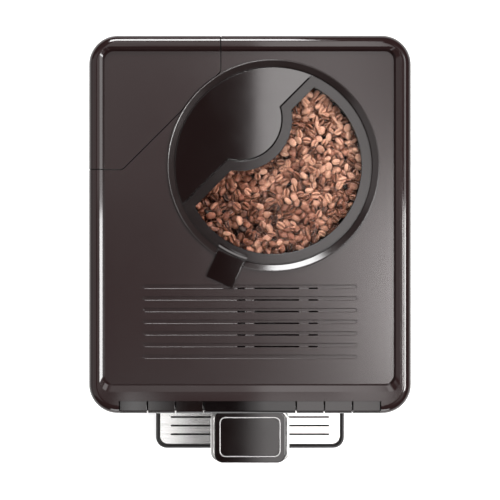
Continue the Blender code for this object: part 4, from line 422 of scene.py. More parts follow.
def clear_pane():
    material = finish(
        "clear window plastic", (0.98, 0.96, 0.94), 0.03, Transmission_Weight=1.0, IOR=1.08,
    )
    vary_roughness(material, noise(material, 70, 3), 0.02, 0.05)
    return bump(material, noise(material, 160, 2), 0.02, 0.00003)


def window_band():
    """The opaque border moulded round the window, a little duller than the lid."""
    colour = (0.0075, 0.0050, 0.0048)
    dark, light = (0.0068, 0.0045, 0.0043), (0.0084, 0.0056, 0.0054)
    material = finish("window border plastic", colour, 0.13, Specular_IOR_Level=0.40)
    vary_colour(material, noise(material, 24, 3), dark, light)
    vary_roughness(material, noise(material, 70, 4), 0.12, 0.15)
    return bump(material, noise(material, 1500, 2), 0.05, 0.00003)


def display_glass():
    material = finish("display glass", (0.0016, 0.0004, 0.0004), 0.07)
    dark, light = (0.0014, 0.0003, 0.0004), (0.0018, 0.0005, 0.0006)
    vary_colour(material, noise(material, 18, 2), dark, light)
    vary_roughness(material, noise(material, 80, 3), 0.05, 0.08)
    return bump(material, noise(material, 200, 2), 0.02, 0.00003)


def rubber():
    material = finish("black rubber", (0.022, 0.022, 0.022), 0.8)
    vary_colour(material, noise(material, 60, 4), (0.018, 0.018, 0.018), (0.030, 0.029, 0.028))
    return bump(material, noise(material, 1100, 5, 0.6), 0.4, 0.00015)


def silicone():
    material = finish("white silicone", (0.72, 0.70, 0.66), 0.5, Subsurface_Weight=0.15)
    vary_colour(material, noise(material, 40, 3), (0.68, 0.66, 0.61), (0.76, 0.74, 0.70))
    return bump(material, noise(material, 600, 3), 0.12, 0.0001)


def circuit_board():
    material = finish("circuit board lacquer", (0.02, 0.13, 0.05), 0.4)
    vary_colour(material, noise(material, 420, 1, 0.3), (0.014, 0.10, 0.04), (0.035, 0.19, 0.08))
    return bump(material, noise(material, 700, 2), 0.2, 0.0001)


def moulded_grey():
    material = finish("moulded grey plastic", (0.20, 0.20, 0.20), 0.48)
    vary_colour(material, noise(material, 16, 3), (0.18, 0.18, 0.18), (0.225, 0.225, 0.225))
    vary_roughness(material, noise(material, 100, 3), 0.42, 0.55)
    return bump(material, noise(material, 1400, 4), 0.2, 0.0001)


def bean_skin():
    """Roasted brown that follows each bean's painted value, its own lightness with painted shade
    and painted light mixed in, with a fine mottle over it.
    """
    material = finish("roasted bean skin", (0.2, 0.09, 0.05), 0.42, Specular_IOR_Level=0.32)
    links = material.node_tree.links
    tone_and_painted_light = add_node(material, "ShaderNodeAttribute")
    tone_and_painted_light.attribute_name = "tone_and_painted_light"
    # The ramp's dark end is reached mostly through painted shade: deep in the heap, in the creases
    # and on the bed.
    ramp = add_node(material, "ShaderNodeValToRGB")
    ramp.color_ramp.elements[0].position = 0.0
    ramp.color_ramp.elements[0].color = (0.014, 0.0035, 0.0018, 1)
    ramp.color_ramp.elements[1].position = 1.0
    ramp.color_ramp.elements[1].color = (0.64, 0.37, 0.265, 1)
    middle = ramp.color_ramp.elements.new(0.5)
    middle.color = (0.205, 0.078, 0.047, 1)
    mottle = noise(material, 420, 5, 0.6)
    mixed = add_node(material, "ShaderNodeMath")
    mixed.operation = "MULTIPLY_ADD"
    mixed.inputs[1].default_value = 0.5
    links.new(mottle, mixed.inputs[0])
    links.new(tone_and_painted_light.outputs["Fac"], mixed.inputs[2])
    shift = add_node(material, "ShaderNodeMath")
    shift.operation = "SUBTRACT"
    shift.inputs[1].default_value = 0.25
    links.new(mixed.outputs["Value"], shift.inputs[0])
    links.new(shift.outputs["Value"], ramp.inputs["Fac"])
    shader = material.node_tree.nodes["Principled BSDF"]
    links.new(ramp.outputs["Color"], shader.inputs["Base Color"])
    vary_roughness(material, noise(material, 300, 3), 0.34, 0.5)
    return bump(material, noise(material, 900, 4, 0.6), 0.3, 0.0003)


SATIN = satin_casing()
GLOSS = piano_black("piano black plastic", 0.6)
LID_GLOSS = piano_black("polished lid plastic", 0.85)
GRAINED = grained_black()
RING = polished_ring()
TRIM = trim_silver()
SILVER = silver_paint()
STEEL = brushed_steel()
PRESSED = pressed_steel()
CAST = cast_metal()
BRASS = brass()
CERAMIC = ceramic()
SMOKED = smoked_plastic()
PANE = clear_pane()
BAND = window_band()
GLASS = display_glass()
RUBBER = rubber()
SILICONE = silicone()
BOARD = circuit_board()
GREY = moulded_grey()
BEAN = bean_skin()


# Top cover and tank lid, one form divided by the parting line

CASING_OUTLINE = rectangle(LEFT, RIGHT, FRONT, REAR, CORNER)
BAY_FRONT, BAY_CORNER_X = 79.5 * MM, -102.7 * MM
BAY_RIGHT, BAY_DIAGONAL_REAR = -23.5 * MM, 158.7 * MM
BAY_SOFT = 4 * MM
STRIP_HALF, STRIP_REAR = 105.3 * MM, -106.5 * MM
PARTING_GAP, SEAL_REACH = 0.4 * MM, 0.2 * MM
COVER_HOLE, LID_HOLE = 84.2 * MM, 86.0 * MM
CUT_LOW, CUT_HIGH = SKIRT_LOW - 5 * MM, RIM_TOP + 5 * MM


def bay(gap):
    """The tank lid's outline, drawn in by the gap on the edges that meet the cover."""
    slant = gap * (math.sqrt(2) - 1)
    left, rear = LEFT - 20 * MM, REAR + 20 * MM
    corners = [
        (left, BAY_FRONT + gap, 0),
        (BAY_CORNER_X - slant, BAY_FRONT + gap, BAY_SOFT),
        (BAY_RIGHT - gap, BAY_DIAGONAL_REAR + slant, BAY_SOFT),
        (BAY_RIGHT - gap, rear, 0),
        (left, rear, 0),
    ]
    return prism(corners, SKIRT_LOW - 4 * MM, RIM_TOP + 4 * MM, 4)


def spans_inside(insets):
    """The x and y spans that the (front, right, rear, left) insets leave of the casing."""
    front, right, rear, left = insets
    return (LEFT + left, RIGHT - right), (FRONT + front, REAR - rear)


def middle_of(x_span, y_span):
    return Vector((sum(x_span) / 2, sum(y_span) / 2, 0))


def pan(z_high, z_low, insets_high, insets_low):
    """A cutter for the recess inside the rim, wider at its upper level than at its lower."""
    x_low, y_low = spans_inside(insets_low)
    x_high, y_high = spans_inside(insets_high)
    radius = max(CORNER - sum(insets_low) / 4, 6 * MM)
    shape = prism(rectangle(*x_low, *y_low, radius), z_low, z_high, 12)
    centre_low, centre_high = middle_of(x_low, y_low), middle_of(x_high, y_high)
    grow_x = (x_high[1] - x_high[0]) / (x_low[1] - x_low[0])
    grow_y = (y_high[1] - y_high[0]) / (y_low[1] - y_low[0])
    for vert in shape.verts:
        if abs(vert.co.z - z_high) < SAME_LEVEL:
            away = vert.co - centre_low
            vert.co.x = centre_high.x + away.x * grow_x
            vert.co.y = centre_high.y + away.y * grow_y
    return shape


def lift_top(shape, z, height):
    """Carries a cutter straight up from its top face, so that it clears the surface it cuts."""
    tops = [
        face for face in shape.faces if all(abs(v.co.z - z) < SAME_LEVEL for v in face.verts)
    ]
    verts = new_verts(bmesh.ops.extrude_face_region(shape, geom=tops))
    bmesh.ops.delete(shape, geom=tops, context="FACES_ONLY")
    bmesh.ops.translate(shape, verts=verts, vec=(0, 0, height))
    bmesh.ops.recalc_face_normals(shape, faces=shape.faces)


RIM_SOFT = 7.4 * MM
CHAMFER_LOW = RIM_TOP - 1.1 * MM

# How far the rim's inner edge, the chamfer's lower edge and the flat panel's edge lie inside
# the casing: front, right, rear, left
RIM_INSETS = (18.0 * MM, 9.4 * MM, 9.8 * MM, 9.3 * MM)
CHAMFER_INSETS = (22.9 * MM, 12.8 * MM, 11.9 * MM, 11.5 * MM)
PANEL_INSETS = (23.9 * MM, 14.2 * MM, 13.2 * MM, 12.8 * MM)


def top_form():
    """The rounded slab and the steps that give it its rim and panel and hollow it out."""
    slab = prism(CASING_OUTLINE, SKIRT_LOW, RIM_TOP, 20)
    soften(slab, edges_at(slab, RIM_TOP), RIM_SOFT, 10)
    chamfer = pan(RIM_TOP, CHAMFER_LOW, RIM_INSETS, CHAMFER_INSETS)
    lift_top(chamfer, RIM_TOP, 2 * MM)
    recess = pan(CHAMFER_LOW, PANEL_TOP, CHAMFER_INSETS, PANEL_INSETS)
    lift_top(recess, CHAMFER_LOW, 4 * MM)
    hollow = rectangle(
        LEFT + CASING_WALL, RIGHT - CASING_WALL, FRONT + CASING_WALL, REAR - CASING_WALL,
        CORNER - CASING_WALL,
    )
    inside = prism(hollow, CUT_LOW, PANEL_TOP - CASING_WALL, 12)
    return slab, [("DIFFERENCE", chamfer), ("DIFFERENCE", recess), ("DIFFERENCE", inside)]


GROOVE_FRONTS = [(-16.6 - 9.4 * row) * MM for row in range(7)]
GROOVE_HALF, GROOVE_WIDTH, GROOVE_END = 86.2 * MM, 3.4 * MM, 1.65 * MM
GROOVE_FLOOR = PANEL_TOP - 0.9 * MM
SLOT_SPANS = ((-10.2, -3.8), (3.4, 39.7), (47.2, 54.7))
SLOTTED_ROWS = 6


def groove_cutters():
    """Seven shallow round-ended grooves, and the slots along the front edges of six."""
    for row, front in enumerate(GROOVE_FRONTS):
        rear = front + GROOVE_WIDTH
        stadium = rectangle(-GROOVE_HALF, GROOVE_HALF, front, rear, GROOVE_END)
        groove = prism(stadium, GROOVE_FLOOR, RIM_TOP, 5)
        yield "DIFFERENCE", soften(groove, edges_at(groove, GROOVE_FLOOR), 0.7 * MM, 5)
        if row < SLOTTED_ROWS:
            for low, high in SLOT_SPANS:
                slot = rectangle(
                    low * MM, high * MM, front - 0.05 * MM, front + 1.1 * MM, 0.5 * MM,
                )
                yield "DIFFERENCE", prism(slot, PANEL_TOP - 6 * MM, RIM_TOP, 4)


def soft_top(name, shape, body, node):
    """A piece of the top, softened down to the shallow edges of the chamfer at its front."""
    soft_edges(piece(name, shape, SATIN, body, node, smooth=50), 0.25, 2, 10.5)


def top_cover():
    slab, steps = top_form()
    hole = disc(HOPPER, COVER_HOLE, CUT_LOW, CUT_HIGH)
    strip = block((-STRIP_HALF, STRIP_HALF), (FRONT - 9 * MM, STRIP_REAR), (CUT_LOW, CUT_HIGH))
    steps += [("DIFFERENCE", bay(-PARTING_GAP)), ("DIFFERENCE", hole), ("DIFFERENCE", strip)]
    shape = carved(slab, *steps, *groove_cutters())
    soft_top("top_cover_finish", shape, "machine", "top_cover")


def tank_lid():
    slab, steps = top_form()
    hole = disc(HOPPER, LID_HOLE, CUT_LOW, CUT_HIGH)
    steps += [("INTERSECT", bay(PARTING_GAP)), ("DIFFERENCE", hole)]
    soft_top("tank_lid_finish", carved(slab, *steps), "tank_lid", "tank_lid")


def lid_arm():
    """The strip behind the lid that turns about the hinge pin."""
    x_span, pin_y, pin_z = (-99.4 * MM, -50.6 * MM), 185.5 * MM, 322.7 * MM
    arm = block(x_span, (184.5 * MM, 187.7 * MM), (pin_z, 328.5 * MM))
    soften(arm, arm.edges[:], 0.4 * MM, 2)
    knuckle = disc(Vector((0, 0, 0)), 2.2 * MM, *x_span, 32)
    turn_about(knuckle, math.pi / 2, "Y")
    bmesh.ops.translate(knuckle, verts=knuckle.verts, vec=(0, pin_y, pin_z))
    piece("tank_lid_arm", carved(arm, ("UNION", knuckle)), SATIN, "tank_lid", smooth=40)


def lid_seal():
    """A black seal under the lid's edge, which closes the parting line lower down."""
    inner = rectangle(LEFT + 0.8 * MM, RIGHT, FRONT, REAR - 0.8 * MM, CORNER)
    shape = carved(
        prism(inner, 335 * MM, PANEL_TOP - 2.3 * MM, 12),
        ("INTERSECT", bay(-SEAL_REACH)),
        ("DIFFERENCE", bay(PARTING_GAP + 0.8 * MM)),
        ("DIFFERENCE", disc(HOPPER, LID_HOLE, 330 * MM, RIM_TOP)),
    )
    piece("tank_lid_seal", shape, RUBBER, "tank_lid", smooth=30)


# Hopper: ring, lid, window, grip and beans

GRIP_ANGLE = math.radians(-115)
GRIP_FAR, GRIP_HALF = 103.3 * MM, 11.6 * MM


def grip_block(room, near, z_span):
    """A block from near the hopper's middle to the grip's far end, with room round the grip."""
    shape = block((near, GRIP_FAR + room), (-GRIP_HALF - room, GRIP_HALF + room), z_span)
    turn_about(shape, GRIP_ANGLE, "Z")
    bmesh.ops.translate(shape, verts=shape.verts, vec=HOPPER)
    return shape


def hopper_ring():
    """The dished ring round the hopper, with a notch where the lid's grip crosses it."""
    profile = [
        (76.5, 340.3), (83.6, 340.3), (83.6, 345.8), (85.5, 345.8), (85.5, 347.4), (85.4, 347.75),
        (85.15, 347.95), (84.8, 348.0), (84.45, 347.9), (84.1, 347.7), (80.3, 345.4),
        (79.8, 345.05), (79.6, 344.7), (79.6, 343.6), (76.5, 343.6),
    ]
    ring = ring_about(HOPPER, [(radius * MM, z * MM) for radius, z in profile], 160)
    notch = grip_block(0.6 * MM, 71.6 * MM, (343.6 * MM, 352 * MM))
    shape = carved(ring, ("DIFFERENCE", notch))
    even_shading(piece("hopper_bezel_finish", shape, RING, "machine", "hopper_bezel", smooth=40))


# The lid's split line in millimetres, from the hopper's middle and turned by half a right angle
SPLIT_TURN = Matrix.Rotation(math.radians(45), 4, "Z")
SPLIT_EDGE = 29.9
BULGE_ALONG, BULGE_ACROSS, BULGE_RADIUS = 7.9, 45.6, 33.4

LID_LOW, LID_TOP = 343.9 * MM, 346.1 * MM
LID_RADIUS, WINDOW_RADIUS, WINDOW_BORDER = 79.0 * MM, 71.2 * MM, 8.6 * MM


def lid_side(room, z_low, z_high):
    """Everything on the solid lid's side of the split line: a half plane and a round bulge."""
    side = block((-200 * MM, 200 * MM), (SPLIT_EDGE * MM - room, 200 * MM), (z_low, z_high))
    middle = Vector((BULGE_ALONG * MM, BULGE_ACROSS * MM, 0))
    bulge = disc(middle, BULGE_RADIUS * MM + room, z_low, z_high, 96)
    shape = carved(side, ("UNION", bulge))
    matrix = Matrix.Translation(HOPPER) @ SPLIT_TURN
    bmesh.ops.transform(shape, matrix=matrix, verts=shape.verts)
    return shape


def window_opening(room, low, high):
    """The see-through part: the bean side of the lid inside a dark band."""
    plate = disc(HOPPER, WINDOW_RADIUS - room, low, high)
    cutter = lid_side(WINDOW_BORDER + room, low - MM, high + MM)
    shape = carved(plate, ("DIFFERENCE", cutter))
    upright_corners = [
        edge for edge in shape.edges
        if len(edge.link_faces) == 2
        and edge.calc_face_angle(0) > math.radians(25)
        and abs(edge.verts[0].co.z - edge.verts[1].co.z) > 0.3 * MM
    ]
    return soften(shape, upright_corners, 1.6 * MM, 3)


def lid_plate():
    return disc(HOPPER, LID_RADIUS, LID_LOW, LID_TOP, 160)


def hopper_lid():
    """The opaque part of the lid, and the border and the clear pane of its window."""
    low, high = LID_LOW - MM, LID_TOP + MM
    opaque = carved(lid_plate(), ("INTERSECT", lid_side(-0.25 * MM, low, high)))
    lid = piece("hopper_lid_finish", opaque, LID_GLOSS, "hopper_lid", "hopper_lid", smooth=25)
    soft_edges(lid, 0.3)
    border = carved(
        lid_plate(),
        ("DIFFERENCE", lid_side(0.75 * MM, low, high)),
        ("DIFFERENCE", window_opening(0, low, high)),
    )
    band = piece("hopper_window_frame", border, BAND, "hopper_lid", "hopper_window", smooth=25)
    soft_edges(band, 0.25)
    pane = window_opening(0.05 * MM, LID_LOW + 0.5 * MM, LID_TOP - 0.25 * MM)
    piece("hopper_window_pane", pane, PANE, "hopper_lid", smooth=25)


def lid_grip():
    """The grip: a flat tab over the ring, and a raised lip along the lid's edge."""
    tab = grip_block(0, 79.8 * MM, (345.8 * MM, 347.9 * MM))
    soft_edges(piece("lid_grip_tab", tab, GLOSS, "hopper_lid", smooth=30), 0.45, 3)
    profile = [
        (74.6, 345.4), (79.0, 345.4), (79.0, 347.3), (78.75, 347.7), (78.3, 347.85),
        (77.2, 347.5), (76.3, 347.5), (75.3, 347.85), (74.85, 347.7), (74.6, 347.3),
    ]
    shape = bmesh.new()
    section = shape.faces.new([shape.verts.new((radius * MM, 0, z * MM)) for radius, z in profile])
    arc = math.radians(18.5)
    bmesh.ops.spin(shape, geom=[section], cent=(0, 0, 0), axis=(0, 0, 1), angle=arc, steps=16)
    bmesh.ops.recalc_face_normals(shape, faces=shape.faces)
    matrix = Matrix.Translation(HOPPER) @ Matrix.Rotation(GRIP_ANGLE - arc / 2, 4, "Z")
    bmesh.ops.transform(shape, matrix=matrix, verts=shape.verts)
    even_shading(piece("lid_grip_lip", shape, GLOSS, "hopper_lid", smooth=40))


def hopper_shell():
    """The smoked hopper, opened up to the window's edge so that none of its rim shows there."""
    opening = window_opening(-0.35 * MM, 322 * MM, 345 * MM)
    shape = carved(own_form("bean_hopper"), ("DIFFERENCE", opening))
    piece("bean_hopper_finish", shape, SMOKED, body_of["bean_hopper"], "bean_hopper")


# Beans, in millimetres: level and least spacing of each layer from the lowest up
BEAN_LAYERS = ((329.8, 5.2), (332.3, 4.4), (334.5, 4.7))
BEAN_TRIES = 7000
HEAP_RADIUS, HEAP_GAP = 70.3, 3.0
# Floor and depth of the heap in millimetres, over which the painted shade lifts from dark to none.
HEAP_FLOOR, HEAP_DEPTH = 329.8, 6.2
BED_TOP, BED_RADIUS, BED_BORDER = 327.5, 70.6, 9.2


def bean_shape():
    """A bean of unit length, flatter below, and which of its vertices lie in the crease."""
    width, above, below, crease_half, crease_floor = 0.74, 0.72, 0.46, 0.06, 0.4
    shape = bmesh.new()
    bmesh.ops.create_uvsphere(shape, u_segments=12, v_segments=6, radius=0.5)
    turn_about(shape, math.pi / 2, "Y")
    crease = []
    for vert in shape.verts:
        x, y, z = vert.co
        z *= above if z > 0 else below
        y *= width
        crease.append(z > 0 and abs(y) < crease_half)
        vert.co = (x, y, z * crease_floor if crease[-1] else z)
    return shape, crease


def bean_inside(x, y):
    """Whether a bean's middle, in millimetres from the hopper's centre, is inside the hopper."""
    if math.hypot(x, y) > HEAP_RADIUS:
        return False
    along = (x + y) / math.sqrt(2)
    across = (y - x) / math.sqrt(2)
    from_bulge = math.hypot(along - BULGE_ALONG, across - BULGE_ACROSS)
    return across < SPLIT_EDGE - HEAP_GAP and from_bulge > BULGE_RADIUS + HEAP_GAP


def bean_matrix(chance, x, y, level):
    """A drawn length, tilt, side, turn and level for the bean at (x, y)."""
    size = Matrix.Scale(chance.uniform(6.9, 8.5) * MM, 4)
    roll = Matrix.Rotation(chance.gauss(0, 0.5), 4, "X")
    tilt = roll @ Matrix.Rotation(chance.gauss(0, 0.35), 4, "Y")
    flip = Matrix.Rotation(math.pi if chance.random() < 0.42 else 0, 4, "X")
    turn = Matrix.Rotation(chance.uniform(0, math.tau), 4, "Z")
    middle = Vector((x, y, level + chance.uniform(-1.1, 1.1)))
    return Matrix.Translation(HOPPER + middle * MM) @ turn @ tilt @ flip @ size


def coffee_beans():
    """Beans laid by a seeded pass, the lowest layer first, with painted shade deep down and in the
    crease, and painted light towards the right and rear.
    """
    chance = random.Random(7)
    heap = bmesh.new()
    tone_and_painted_light = heap.verts.layers.float.new("tone_and_painted_light")
    source, crease = bean_shape()
    pattern = mesh_of("bean", source)
    for level, spacing in BEAN_LAYERS:
        laid = []
        for _ in range(BEAN_TRIES):
            x, y = chance.uniform(-72, 72), chance.uniform(-72, 72)
            if not bean_inside(x, y):
                continue
            if any((x - a) ** 2 + (y - b) ** 2 < spacing ** 2 for a, b in laid):
                continue
            laid.append((x, y))
            matrix = bean_matrix(chance, x, y, level)
            before = len(heap.verts)
            heap.from_mesh(pattern)
            heap.verts.ensure_lookup_table()
            fresh = heap.verts[before:]
            bmesh.ops.transform(heap, matrix=matrix, verts=fresh)
            # Each bean's own random lightness, plus painted light that brightens the beans towards
            # the right and rear.
            own_lightness_and_painted_light = chance.gauss(0.62, 0.2) + 0.0034 * (x + 0.6 * y)
            for vert, in_crease in zip(fresh, crease):
                # Painted shade: a bean darkens the deeper it lies in the heap, and darker still in
                # its crease.
                height = min(max((vert.co.z / MM - HEAP_FLOOR) / HEAP_DEPTH, 0), 1)
                vert[tone_and_painted_light] = max(own_lightness_and_painted_light * (0.12 + 0.88 * height) - (0.38 if in_crease else 0), 0.0)
    bpy.data.meshes.remove(pattern)
    piece("coffee_beans_heap", heap, BEAN, "machine", "coffee_beans", smooth=60)


def bean_bed():
    """The depth of the heap under the beans that show, given the darkest bean colour as painted
    shade.
    """
    plate = disc(HOPPER, BED_RADIUS * MM, (BED_TOP - 8) * MM, BED_TOP * MM, 96)
    cutter = lid_side(BED_BORDER * MM, (BED_TOP - 10) * MM, (BED_TOP + 2) * MM)
    shape = carved(plate, ("DIFFERENCE", cutter))
    # With no painted value of its own, the bed takes the ramp's darkest colour: painted shade for
    # the heap's depth.
    piece("coffee_beans_bed", shape, BEAN, "machine", smooth=60)


# Control strip in millimetres: crowned keys and display

KEY_PITCH, DISPLAY_HALF, CAP_GAP = 22.7, 37.2, 0.5
CROWN_STEPS = 8


def crown_profile():
    """Side view of a cap: flat back on the slope, level top, rounded front edge."""
    rear_y, front_y, top_z, fall, radius = -106.75, -117.0, 347.0, 0.4, 2.8
    profile = [
        (-116.76, 327.74), (-113.67, 326.1), (-103.65, 344.91), (-106.74, 346.56),
        (rear_y, top_z),
    ]
    for step in range(CROWN_STEPS + 1):
        turn = math.radians(90 - 90 * step / CROWN_STEPS)
        profile.append((
            front_y + radius - radius * math.cos(turn),
            top_z - fall - radius + radius * math.sin(turn),
        ))
    return profile + [(front_y, 328.24)]


def crowned_bar(x_low, x_high):
    """A cap whose face rolls over the front edge, drawn out along X from its side view."""
    shape = bmesh.new()
    verts = [shape.verts.new((x_low * MM, y * MM, z * MM)) for y, z in crown_profile()]
    side = shape.faces.new(verts)
    far = new_verts(bmesh.ops.extrude_face_region(shape, geom=[side]))
    bmesh.ops.translate(shape, verts=far, vec=((x_high - x_low) * MM, 0, 0))
    bmesh.ops.recalc_face_normals(shape, faces=shape.faces)
    return shape


def control_strip():
    starts = [DISPLAY_HALF + KEY_PITCH * number for number in range(3)]
    lows = [-start - KEY_PITCH for start in reversed(starts)] + starts
    for number, low in enumerate(lows, 1):
        cap = crowned_bar(low + CAP_GAP, low + KEY_PITCH - CAP_GAP)
        thing = piece(f"key_{number}_cap", cap, GLOSS, f"key_{number}", f"key_{number}", smooth=40)
        soft_edges(thing, 0.35, 2, 40)
    pane = crowned_bar(-DISPLAY_HALF + CAP_GAP, DISPLAY_HALF - CAP_GAP)
    glass = piece("display_window_glass", pane, GLASS, "machine", "display_window", smooth=40)
    soft_edges(glass, 0.3, 2, 40)


# Spout

SPOUT_FRONT, SPOUT_BACK = -165.2, -121.3
CAP_TOP, SKIRT_TOP = 292.0 * MM, 286.2 * MM
CAP_OUTLINE = rectangle(-30.2 * MM, 30.2 * MM, SPOUT_FRONT * MM, SPOUT_BACK * MM, 7.3 * MM)
WELL_OUTLINE = rectangle(-25.9 * MM, 25.9 * MM, -160.2 * MM, -126.2 * MM, 5.2 * MM)
INLAY_OUTLINE = rectangle(-24.9 * MM, 24.9 * MM, -159.2 * MM, -127.2 * MM, 4.2 * MM)


def spout_cap():
    """Gloss cap: a rounded block with a well, an inlay with clipped corners and a fine hoop."""
    cap = prism(CAP_OUTLINE, 286.5 * MM, CAP_TOP, 12)
    soften(cap, edges_at(cap, CAP_TOP), 1.1 * MM, 4)
    well_low = CAP_TOP - 0.9 * MM
    shape = carved(cap, ("DIFFERENCE", prism(WELL_OUTLINE, well_low, CAP_TOP + 2 * MM, 6)))
    even_shading(piece("spout_cap_finish", shape, GLOSS, "spout", "spout_cap", smooth=30))
    plate = prism(INLAY_OUTLINE, CAP_TOP - 1.4 * MM, CAP_TOP - 0.5 * MM, 1)
    soft_edges(piece("spout_cap_inlay", plate, GLOSS, "spout", smooth=30), 0.25, 2, 30)
    hoop = carved(
        prism(WELL_OUTLINE, well_low, CAP_TOP - 0.05 * MM, 5),
        ("DIFFERENCE", prism(INLAY_OUTLINE, CAP_TOP - 3 * MM, CAP_TOP + 2 * MM, 5)),
    )
    soft_edges(piece("spout_cap_trim", hoop, TRIM, "spout", smooth=30), 0.25, 3, 30)


def spout_skirt():
    """The silver housing under the cap, a little wider than the cap."""
    front, back, wall = SPOUT_FRONT, SPOUT_BACK, 2.2
    outer = rectangle(-33.5 * MM, 33.5 * MM, front * MM, back * MM, 8.5 * MM)
    shell = prism(outer, 240.0 * MM, SKIRT_TOP, 14)
    soften(shell, edges_at(shell, SKIRT_TOP), 1.6 * MM, 4)
    core = rectangle(
        -31.3 * MM, 31.3 * MM, (front + wall) * MM, (back - wall) * MM, 6.3 * MM,
    )
    shape = carved(shell, ("DIFFERENCE", prism(core, 238 * MM, 290 * MM, 10)))
    soft_edges(piece("spout_housing_finish", shape, SILVER, "spout", "spout_housing"), 0.4)


# Drip grid: the plate stands a little clear of the tray's black edge

GRID_MARGIN, GRID_BORDER = 1.5 * MM, 9 * MM


def drip_plate():
    """The grid's own form with its border drawn in, while its slots stay in place."""
    shape = flat_faces(own_form("drip_grid"))
    (x_low, y_low, _), (x_high, y_high, _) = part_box("drip_grid")
    middle = (y_low + y_high) / 2
    for vert in shape.verts:
        if vert.co.x < x_low + GRID_BORDER or vert.co.x > x_high - GRID_BORDER:
            vert.co.x *= 1 - GRID_MARGIN / x_high
        if vert.co.y < y_low + GRID_BORDER or vert.co.y > y_high - GRID_BORDER:
            vert.co.y = middle + (vert.co.y - middle) * (1 - 2 * GRID_MARGIN / (y_high - y_low))
    soft_edges(piece("drip_grid_finish", shape, STEEL, body_of["drip_grid"], "drip_grid"), 0.25)


# Everything else keeps the form of its solid: finish, and width of its soft edges in millimetres

DRESSED_NODES = {
    "base_pan": (GRAINED, 0.6), "front_fascia": (GLOSS, 0.4), "left_side_panel": (GLOSS, 0.4),
    "right_side_panel": (GLOSS, 0.4), "service_door": (GLOSS, 0.5), "rear_cover": (GRAINED, 0.4),
    "door_hinge_pin": (PRESSED, 0.2), "tank_hinge_pin": (PRESSED, 0.2),
    "power_board": (BOARD, 0.2), "mains_inlet": (GRAINED, 0.3), "power_switch": (GLOSS, 0.5),
    "tank_partition": (GREY, 0.3), "water_tank": (SMOKED, 0.4), "tank_valve": (GREY, 0.3),
    "tank_socket": (GREY, 0.4), "control_board": (BOARD, 0.2), "spout_rail": (GRAINED, 0.3),
    "spout_carriage": (GRAINED, 0.4), "spout_nozzles": (STEEL, 0.5), "drip_tray": (GRAINED, 0.6),
    "grounds_bin": (GRAINED, 0.5), "mid_shelf": (GREY, 0.4), "grinder_motor": (PRESSED, 0.8),
    "grinder_housing": (CAST, 0.6), "lower_burr": (CERAMIC, 0.2), "upper_burr": (CERAMIC, 0.3),
    "grounds_chute": (GREY, 0.3), "brew_frame": (GREY, 0.6), "brew_chamber": (SMOKED, 0.5),
    "lower_sieve": (STEEL, 0.2), "upper_piston": (GREY, 0.4), "brew_spindle": (STEEL, 0),
    "spindle_gear": (GREY, 0.15), "brew_motor": (PRESSED, 0.6), "motor_pinion": (BRASS, 0.1),
    "pump": (CAST, 0.6), "thermoblock": (CAST, 0.6), "suction_hose": (SILICONE, 0),
    "pressure_hose": (SILICONE, 0), "foot_front_left": (RUBBER, 0.4),
    "foot_front_right": (RUBBER, 0.4), "foot_rear_left": (RUBBER, 0.4),
    "foot_rear_right": (RUBBER, 0.4),
}


# Room: a pale floor, soft lights in metres, and the camera above the machine

WARM, WHITE = (1, 0.97, 0.965), (1, 1, 1)

# Lights that hang level: name, place, width and depth, radiance, colour
HANGING_LIGHTS = (
    ("overhead right", (0.149, 0.66, 2.0), (0.272, 1.44), 3.9, WARM),
    ("overhead panel", (0.235, -0.175, 2.0), (0.10, 0.23), 3.7, WARM),
    ("overhead front", (0.1525, -0.5525, 2.0), (0.265, 0.595), 2.8, WARM),
    ("front crest", (-0.0675, -0.26, 2.0), (0.175, 0.05), 0.8, WARM),
    ("front edge", (0.0075, -0.57, 2.0), (0.025, 0.56), 1.3, WARM),
    ("glow right", (0.425, -0.09, 1.99), (0.12, 0.40), 54, WARM),
    ("left front", (-0.242, -0.50, 2.0), (0.04, 0.48), 3.2, WHITE),
    ("left front middle", (-0.2045, -0.50, 2.0), (0.035, 0.48), 1.9, WHITE),
    ("left front edge", (-0.171, -0.50, 2.0), (0.032, 0.48), 0.8, WHITE),
    ("overhead left rear", (-0.34, 0.36, 2.0), (0.24, 0.5), 1.3, WARM),
    ("left crest", (-0.3175, -0.09, 2.0), (0.045, 0.38), 1.2, WARM),
    ("rear rim", (-0.10, 0.43, 2.0), (0.22, 0.06), 0.8, WARM),
    ("rear left", (-0.10, 0.93, 2.0), (0.24, 0.94), 1.5, WARM),
    ("rear far left", (-0.34, 1.0, 2.0), (0.24, 0.78), 1.7, WARM),
)

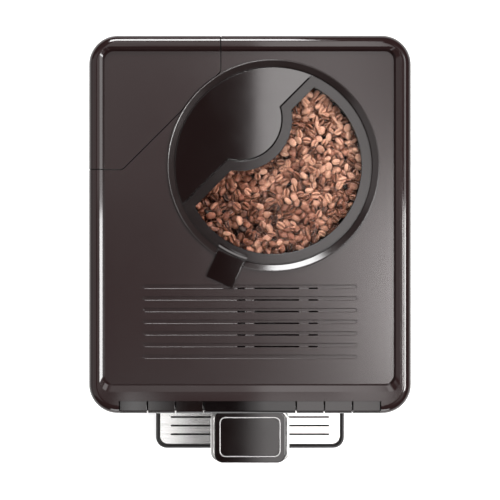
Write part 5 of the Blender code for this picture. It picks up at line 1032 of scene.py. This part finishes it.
# Lights that stand round the machine: name, place, target, width and height, radiance
STANDING_LIGHTS = (
    ("rear side", (-0.25, 1.50, 1.27), (-0.05, 0.05, 0.35), (0.74, 0.64), 25),
    ("right side", (1.12, -0.20, 1.72), (0, -0.20, 0.35), (0.60, 0.50), 25),
    ("right side rear", (1.12, 0.43, 1.72), (0, 0.43, 0.35), (0.64, 0.50), 4.0),
    ("left upper", (-1.35, 0.0, 1.75), (-0.1, 0.0, 0.35), (2.0, 1.4), 0.75),
    ("right upper", (1.03, 0.0, 1.79), (0.125, 0.0, 0.35), (2.2, 0.95), 0.7),
    ("left fill", (-2.6, -0.2, 1.1), (0, 0, 0.2), (2.4, 1.4), 0.6),
    ("front side", (0, -1.90, 0.72), (0, 0, 0.34), (1.5, 0.72), 6),
)


def stage_floor():
    """A floor so wide that its edge stays beyond the lowest views."""
    shape = bmesh.new()
    bmesh.ops.create_grid(shape, x_segments=2, y_segments=2, size=40)
    floor = placed("floor", mesh_of("floor", shape))
    glow = {"Emission_Color": (1, 1, 1, 1), "Emission_Strength": 0.7}
    floor.data.materials.append(finish("pale floor", (0.7, 0.7, 0.7), 0.7, **glow))


def soft_box(name, place, target, size, radiance, colour=WHITE):
    """An area light whose power follows from the radiance wanted over its size."""
    lamp = bpy.data.lights.new(name, "AREA")
    lamp.shape = "RECTANGLE"
    lamp.size, lamp.size_y = size
    lamp.energy = radiance * math.pi * size[0] * size[1]
    lamp.color = colour
    thing = placed(name, lamp)
    thing.location = place
    thing.rotation_euler = (Vector(target) - Vector(place)).to_track_quat("-Z", "Y").to_euler()


def studio():
    """A faint even light from all round, and the soft lights."""
    world = bpy.data.worlds.new("studio")
    bpy.context.scene.world = world
    world.use_nodes = True
    background = world.node_tree.nodes["Background"]
    background.inputs["Color"].default_value = (1, 0.985, 0.98, 1)
    background.inputs["Strength"].default_value = 0.06
    for name, place, size, radiance, colour in HANGING_LIGHTS:
        soft_box(name, place, (*place[:2], 0), size, radiance, colour)
    for light in STANDING_LIGHTS:
        soft_box(*light)


def plain_view():
    """Shows the light as it falls, with a white that stays white."""
    bpy.context.scene.view_settings.view_transform = "Standard"


def camera():
    """Looks straight down, as the photograph does."""
    lens = bpy.data.cameras.new("camera")
    lens.sensor_width = 36
    lens.lens = 98.7
    lens.clip_end = 120
    view = placed("camera", lens)
    view.location = (0.0, 0.0148, 1.45)
    bpy.context.scene.camera = view


top_cover()
tank_lid()
lid_arm()
lid_seal()
hopper_ring()
hopper_lid()
lid_grip()
hopper_shell()
coffee_beans()
bean_bed()
control_strip()
spout_cap()
spout_skirt()
drip_plate()
for node, (look, edge_width) in DRESSED_NODES.items():
    dressed(node, look, edge_width)
stage_floor()
studio()
plain_view()
camera()
